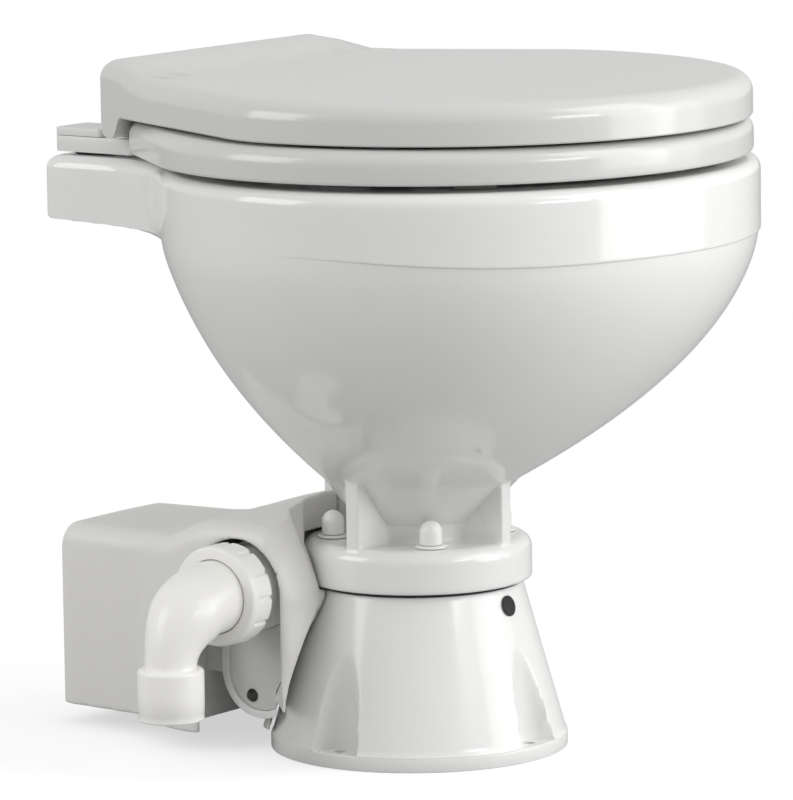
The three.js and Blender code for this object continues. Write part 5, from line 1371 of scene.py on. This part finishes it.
def make_elbow(sizes):
    y, z = sizes.union_y, sizes.union_z
    spigot, end = sizes.spigot_radius, sizes.leg_end
    bend = sizes.leg_x - sizes.bend_start
    stops = []
    for step in range(33):
        share = step / 32
        angle = QUARTER * share
        radius = mix(spigot, sizes.leg_radius, smooth_step(*PIPE_TAPER, share))
        x = -sizes.bend_start - bend * math.sin(angle)
        stops.append((x, z - bend * (1 - math.cos(angle)), angle, radius))
    leg_x, leg_radius = stops[-1][0], stops[-1][3]
    top = end + sizes.collar_height
    collar = sizes.collar_radius
    outside = [(top + COLLAR_REST, leg_radius + COLLAR_INNER)]
    outside += [(top - drop, collar - inset) for drop, inset in rounded(COLLAR_ROUNDING, 6)]
    outside.append((mix(top, end, 0.5), collar))
    outside += [(end + rise, collar - inset) for rise, inset in COLLAR_FOOT]
    inside = [(end, collar - COLLAR_BEVEL)]
    inside += [(end + rise, SOCKET_RADIUS + wider) for rise, wider in SOCKET_STEPS]
    inside.append((end + SOCKET_DEPTH, leg_radius - PIPE_WALL))
    back = -sizes.nut_face + PIPE_IN_NUT
    rings = [pipe_ring(back, z, 0.0, spigot, y), pipe_ring(-sizes.nut_face - SMALL_EDGE, z, 0.0, spigot, y)]
    rings += [pipe_ring(*stop, y, SEAM_HEIGHT) for stop in stops[:-1]]
    rings += [pipe_ring(leg_x, height, QUARTER, radius, y, SEAM_HEIGHT) for height, radius in outside]
    rings += [pipe_ring(leg_x, height, QUARTER, radius, y) for height, radius in inside]
    for x, height, turn, radius in reversed(stops):
        rings.append(pipe_ring(x, height, turn, radius - PIPE_WALL, y))
    rings.append(pipe_ring(back, z, 0.0, spigot - PIPE_WALL, y))
    pipe = loft_mesh("elbow_pipe", rings, wrapped=True)
    piece("elbow_pipe", pipe, "elbow_body", "pipe_white", "discharge_elbow", 40.0)
    inner = spigot - ELBOW_FLANGE_OVERLAP
    near, far = ELBOW_FLANGE_SPAN
    profile = [(inner, near), (ELBOW_FLANGE_RADIUS, near), (ELBOW_FLANGE_RADIUS, far), (inner, far)]
    flange = loft_mesh("elbow_flange", along_x(turned_rings(profile, 64), y, z), wrapped=True)
    piece("elbow_flange", flange, "elbow_body", "pipe_white", "discharge_elbow")


# Carried-over solids

SMOOTH_ANGLE = 35
WELD_DISTANCE = 0.00001
BEVELS = {"hinge_block": 0.0008, "hinge_cap": 0.0012, "pump_housing": 0.0008, "chamber_plate": 0.0003}


def smoothing_tree():
    """Geometry nodes that drop imported normals and shade smooth below an angle."""
    found = bpy.data.node_groups.get("smooth_by_angle")
    if found:
        return found
    group = bpy.data.node_groups.new("smooth_by_angle", "GeometryNodeTree")
    group.interface.new_socket("Geometry", in_out="INPUT", socket_type="NodeSocketGeometry")
    group.interface.new_socket("Geometry", in_out="OUTPUT", socket_type="NodeSocketGeometry")
    tree = Tree(group)
    source = tree.node("NodeGroupInput")[0]
    plain = tree.node("GeometryNodeRemoveAttribute", None, {"Geometry": source, "Name": "custom_normal"})[0]
    faces = tree.node("GeometryNodeSetShadeSmooth", {"domain": "FACE"}, {"Geometry": plain})[0]
    angle = tree.node("GeometryNodeInputMeshEdgeAngle")["Unsigned Angle"]
    limit = math.radians(SMOOTH_ANGLE)
    wide = tree.node("FunctionNodeCompare", {"operation": "GREATER_THAN"}, {0: angle, 1: limit})[0]
    inputs = {"Geometry": faces, "Selection": wide, "Shade Smooth": False}
    edges = tree.node("GeometryNodeSetShadeSmooth", {"domain": "EDGE"}, inputs)[0]
    tree.node("NodeGroupOutput", None, {0: edges})
    return group


def dress_carried():
    """Gives each remaining solid its material, soft edges and smooth shading."""
    slots = {part["node"]: part["material_slot"] for part in frame["record"]["subparts"]}
    for name, node in frame["nodes"].items():
        if node.hide_render:
            continue
        node.data.materials.clear()
        node.data.materials.append(material_of(slots[name]))
        weld = node.modifiers.new("Weld", "WELD")
        weld.merge_threshold = WELD_DISTANCE
        width = next((BEVELS[key] for key in BEVELS if name.startswith(key)), 0.0)
        if width:
            bevelled(node, width)
        smooth = node.modifiers.new("Smooth", "NODES")
        smooth.node_group = smoothing_tree()


# Studio

TARGET = (0.0, 0.0, 0.2)
# Azimuth from the front, elevation, distance, width and height of each lamp
LAMPS = {
    "key": (20, 8, 1.9, 1.0, 1.0),
    "highlight": (-8, 18, 1.5, 0.46, 0.25),
    "side": (38, 12, 1.7, 0.8, 1.2),
    "fill": (-125, 22, 1.9, 1.0, 1.0),
    "top": (15, 40, 1.9, 1.0, 1.0),
}
FLOOR_REACH = 14.0
FLOOR_GLOW = 0.6
WHITE_FROM = 0.2
WHITE_BEYOND = 0.7
CAMERA_PLACE = (-2.66553, -1.92379, 0.68225)
CAMERA_AZIMUTH = -54.001
CAMERA_ELEVATION = 8.496
CAMERA_ROLL = -0.756


def area_light(name, place, width, height, power):
    light = bpy.data.lights.new(name, "AREA")
    light.shape = "RECTANGLE"
    light.size = width
    light.size_y = height
    light.energy = power
    shown = helper_object(name, light)
    shown.location = place
    aim = Vector(TARGET) - Vector(place)
    shown.rotation_euler = aim.to_track_quat("-Z", "Y").to_euler()


def around(azimuth, elevation, distance):
    """Point seen from the target at an azimuth from the front, positive towards +X."""
    a = math.radians(azimuth)
    e = math.radians(elevation)
    return (
        TARGET[0] + distance * math.sin(a) * math.cos(e), TARGET[1] - distance * math.cos(a) * math.cos(e),
        TARGET[2] + distance * math.sin(e),
    )


def make_floor():
    """Floor that the camera sees turn to plain white with distance."""
    mesh = bpy.data.meshes.new("floor")
    corners = [(x * FLOOR_REACH, y * FLOOR_REACH, 0) for x, y in ((-1, -1), (1, -1), (1, 1), (-1, 1))]
    mesh.from_pydata(corners, [], [(0, 1, 2, 3)])
    floor = helper_object("studio_floor", mesh)
    material = bpy.data.materials.new("studio_floor")
    material.use_nodes = True
    tree = Tree(material.node_tree)
    tint = tree.colour_mix(tree.noise(3.0), rgba((0.45, 0.45, 0.45)), rgba((0.47, 0.47, 0.47)))
    matt = tree.node("ShaderNodeBsdfDiffuse", None, {"Color": tint})[0]
    glow = tree.node("ShaderNodeEmission", None, {"Color": rgba((1, 1, 1)), "Strength": FLOOR_GLOW})[0]
    white = tree.node("ShaderNodeEmission", None, {"Color": rgba((1, 1, 1)), "Strength": 1.0})[0]
    seen = tree.node("ShaderNodeLightPath")["Is Camera Ray"]
    lit = tree.node("ShaderNodeAddShader", None, {0: matt, 1: glow})[0]
    away = tree.node("ShaderNodeVectorMath", {"operation": "LENGTH"}, {0: tree.place()})["Value"]
    far = tree.node(
        "ShaderNodeMapRange", {"interpolation_type": "SMOOTHSTEP"}, {0: away, 1: WHITE_FROM, 2: WHITE_BEYOND}
    )[0]
    shown_floor = tree.node("ShaderNodeMixShader", None, {0: far, 1: lit, 2: white})[0]
    tree.finish(tree.node("ShaderNodeMixShader", None, {0: seen, 1: matt, 2: shown_floor})[0])
    mesh.materials.append(material)


def make_world(ambient):
    world = bpy.data.worlds.new("studio")
    world.use_nodes = True
    bpy.context.scene.world = world
    tree = Tree(world.node_tree)
    seen = tree.node("ShaderNodeLightPath")["Is Camera Ray"]
    dim = tree.node("ShaderNodeBackground", None, {"Color": rgba((1, 1, 1)), "Strength": ambient})[0]
    bright = tree.node("ShaderNodeBackground", None, {"Color": rgba((1, 1, 1)), "Strength": 1.0})[0]
    blend = tree.node("ShaderNodeMixShader", None, {0: seen, 1: dim, 2: bright})[0]
    tree.node("ShaderNodeOutputWorld", None, {"Surface": blend})


def make_lamps(settings):
    for word, (azimuth, elevation, distance, width, height) in LAMPS.items():
        place = around(azimuth, elevation, distance)
        area_light(word + "_light", place, width, height, getattr(settings, word + "_power"))


def make_camera():
    camera = bpy.data.cameras.new("photo_camera")
    camera.lens = 273.5
    camera.sensor_width = 36.0
    camera.clip_end = 60.0
    shown = helper_object("photo_camera", camera)
    a, e, roll = math.radians(CAMERA_AZIMUTH), math.radians(CAMERA_ELEVATION), math.radians(CAMERA_ROLL)
    right = Vector((math.cos(a), math.sin(a), 0.0))
    back = Vector((math.sin(a) * math.cos(e), -math.cos(a) * math.cos(e), math.sin(e)))
    up = back.cross(right)
    rolled_right = right * math.cos(roll) + up * math.sin(roll)
    rolled_up = up * math.cos(roll) - right * math.sin(roll)
    turned = Matrix((rolled_right, rolled_up, back)).transposed().to_4x4()
    shown.matrix_world = Matrix.Translation(CAMERA_PLACE) @ turned
    bpy.context.scene.camera = shown
    bpy.context.scene.view_settings.view_transform = "Standard"


# Operators


class TOILET_OT_bowl(bpy.types.Operator):
    """Build the bowl, its neck and shelf, and the nuts on the flange"""

    bl_idname = "toilet.bowl"
    bl_label = "Build Bowl"

    def execute(self, context):
        make_bowl(context.scene.toilet_bowl)
        make_fixings(context.scene.toilet_bowl)
        return {"FINISHED"}


class TOILET_OT_pedestal(bpy.types.Operator):
    """Build the pedestal and its plug"""

    bl_idname = "toilet.pedestal"
    bl_label = "Build Pedestal"

    def execute(self, context):
        make_pedestal(context.scene.toilet_base)
        make_plug(context.scene.toilet_base)
        return {"FINISHED"}


class TOILET_OT_seat(bpy.types.Operator):
    """Build the seat and its hinge arms"""

    bl_idname = "toilet.seat"
    bl_label = "Build Seat"

    def execute(self, context):
        make_seat(context.scene.toilet_lid)
        make_seat_arms(context.scene.toilet_lid)
        return {"FINISHED"}


class TOILET_OT_lid(bpy.types.Operator):
    """Build the lid and its hinge lugs"""

    bl_idname = "toilet.lid"
    bl_label = "Build Lid"

    def execute(self, context):
        make_lid(context.scene.toilet_lid)
        return {"FINISHED"}


class TOILET_OT_cover(bpy.types.Operator):
    """Build the motor cover"""

    bl_idname = "toilet.cover"
    bl_label = "Build Motor Cover"

    def execute(self, context):
        make_cover(context.scene.toilet_base)
        return {"FINISHED"}


class TOILET_OT_discharge(bpy.types.Operator):
    """Build the union nut and the discharge elbow"""

    bl_idname = "toilet.discharge"
    bl_label = "Build Discharge"

    def execute(self, context):
        make_union(context.scene.toilet_base)
        make_elbow(context.scene.toilet_base)
        return {"FINISHED"}


class TOILET_OT_carried(bpy.types.Operator):
    """Dress the solids that stay as they are"""

    bl_idname = "toilet.carried"
    bl_label = "Dress Solids"

    def execute(self, context):
        dress_carried()
        return {"FINISHED"}


class TOILET_OT_studio(bpy.types.Operator):
    """Build the floor, lights and camera"""

    bl_idname = "toilet.studio"
    bl_label = "Build Studio"

    def execute(self, context):
        make_floor()
        make_world(context.scene.toilet_studio.ambient)
        make_lamps(context.scene.toilet_studio)
        make_camera()
        return {"FINISHED"}


class TOILET_PT_panel(bpy.types.Panel):
    """Buttons and sizes in the sidebar"""

    bl_idname = "TOILET_PT_panel"
    bl_label = "Marine Toilet"
    bl_space_type = "VIEW_3D"
    bl_region_type = "UI"
    bl_category = "Marine Toilet"

    def draw(self, context):
        for operator in OPERATORS:
            self.layout.operator(operator.bl_idname)
        for key in GROUPS:
            settings = getattr(context.scene, key)
            for prop in settings.bl_rna.properties:
                if prop.identifier not in {"rna_type", "name"}:
                    self.layout.prop(settings, prop.identifier)


GROUPS = {
    "toilet_bowl": TOILET_PG_bowl,
    "toilet_lid": TOILET_PG_lid,
    "toilet_base": TOILET_PG_base,
    "toilet_studio": TOILET_PG_studio,
}
OPERATORS = (
    TOILET_OT_studio, TOILET_OT_bowl, TOILET_OT_pedestal, TOILET_OT_seat, TOILET_OT_lid, TOILET_OT_cover,
    TOILET_OT_discharge, TOILET_OT_carried,
)


def register():
    for group in GROUPS.values():
        bpy.utils.register_class(group)
    for operator in OPERATORS:
        bpy.utils.register_class(operator)
    bpy.utils.register_class(TOILET_PT_panel)
    for key, group in GROUPS.items():
        setattr(bpy.types.Scene, key, bpy.props.PointerProperty(type=group))


def unregister():
    for key in GROUPS:
        delattr(bpy.types.Scene, key)
    bpy.utils.unregister_class(TOILET_PT_panel)
    for operator in reversed(OPERATORS):
        bpy.utils.unregister_class(operator)
    for group in reversed(GROUPS.values()):
        bpy.utils.unregister_class(group)


def main():
    register()
    bpy.ops.toilet.studio()
    bpy.ops.toilet.bowl()
    bpy.ops.toilet.pedestal()
    bpy.ops.toilet.seat()
    bpy.ops.toilet.lid()
    bpy.ops.toilet.cover()
    bpy.ops.toilet.discharge()
    bpy.ops.toilet.carried()


if __name__ == "__main__":
    main()
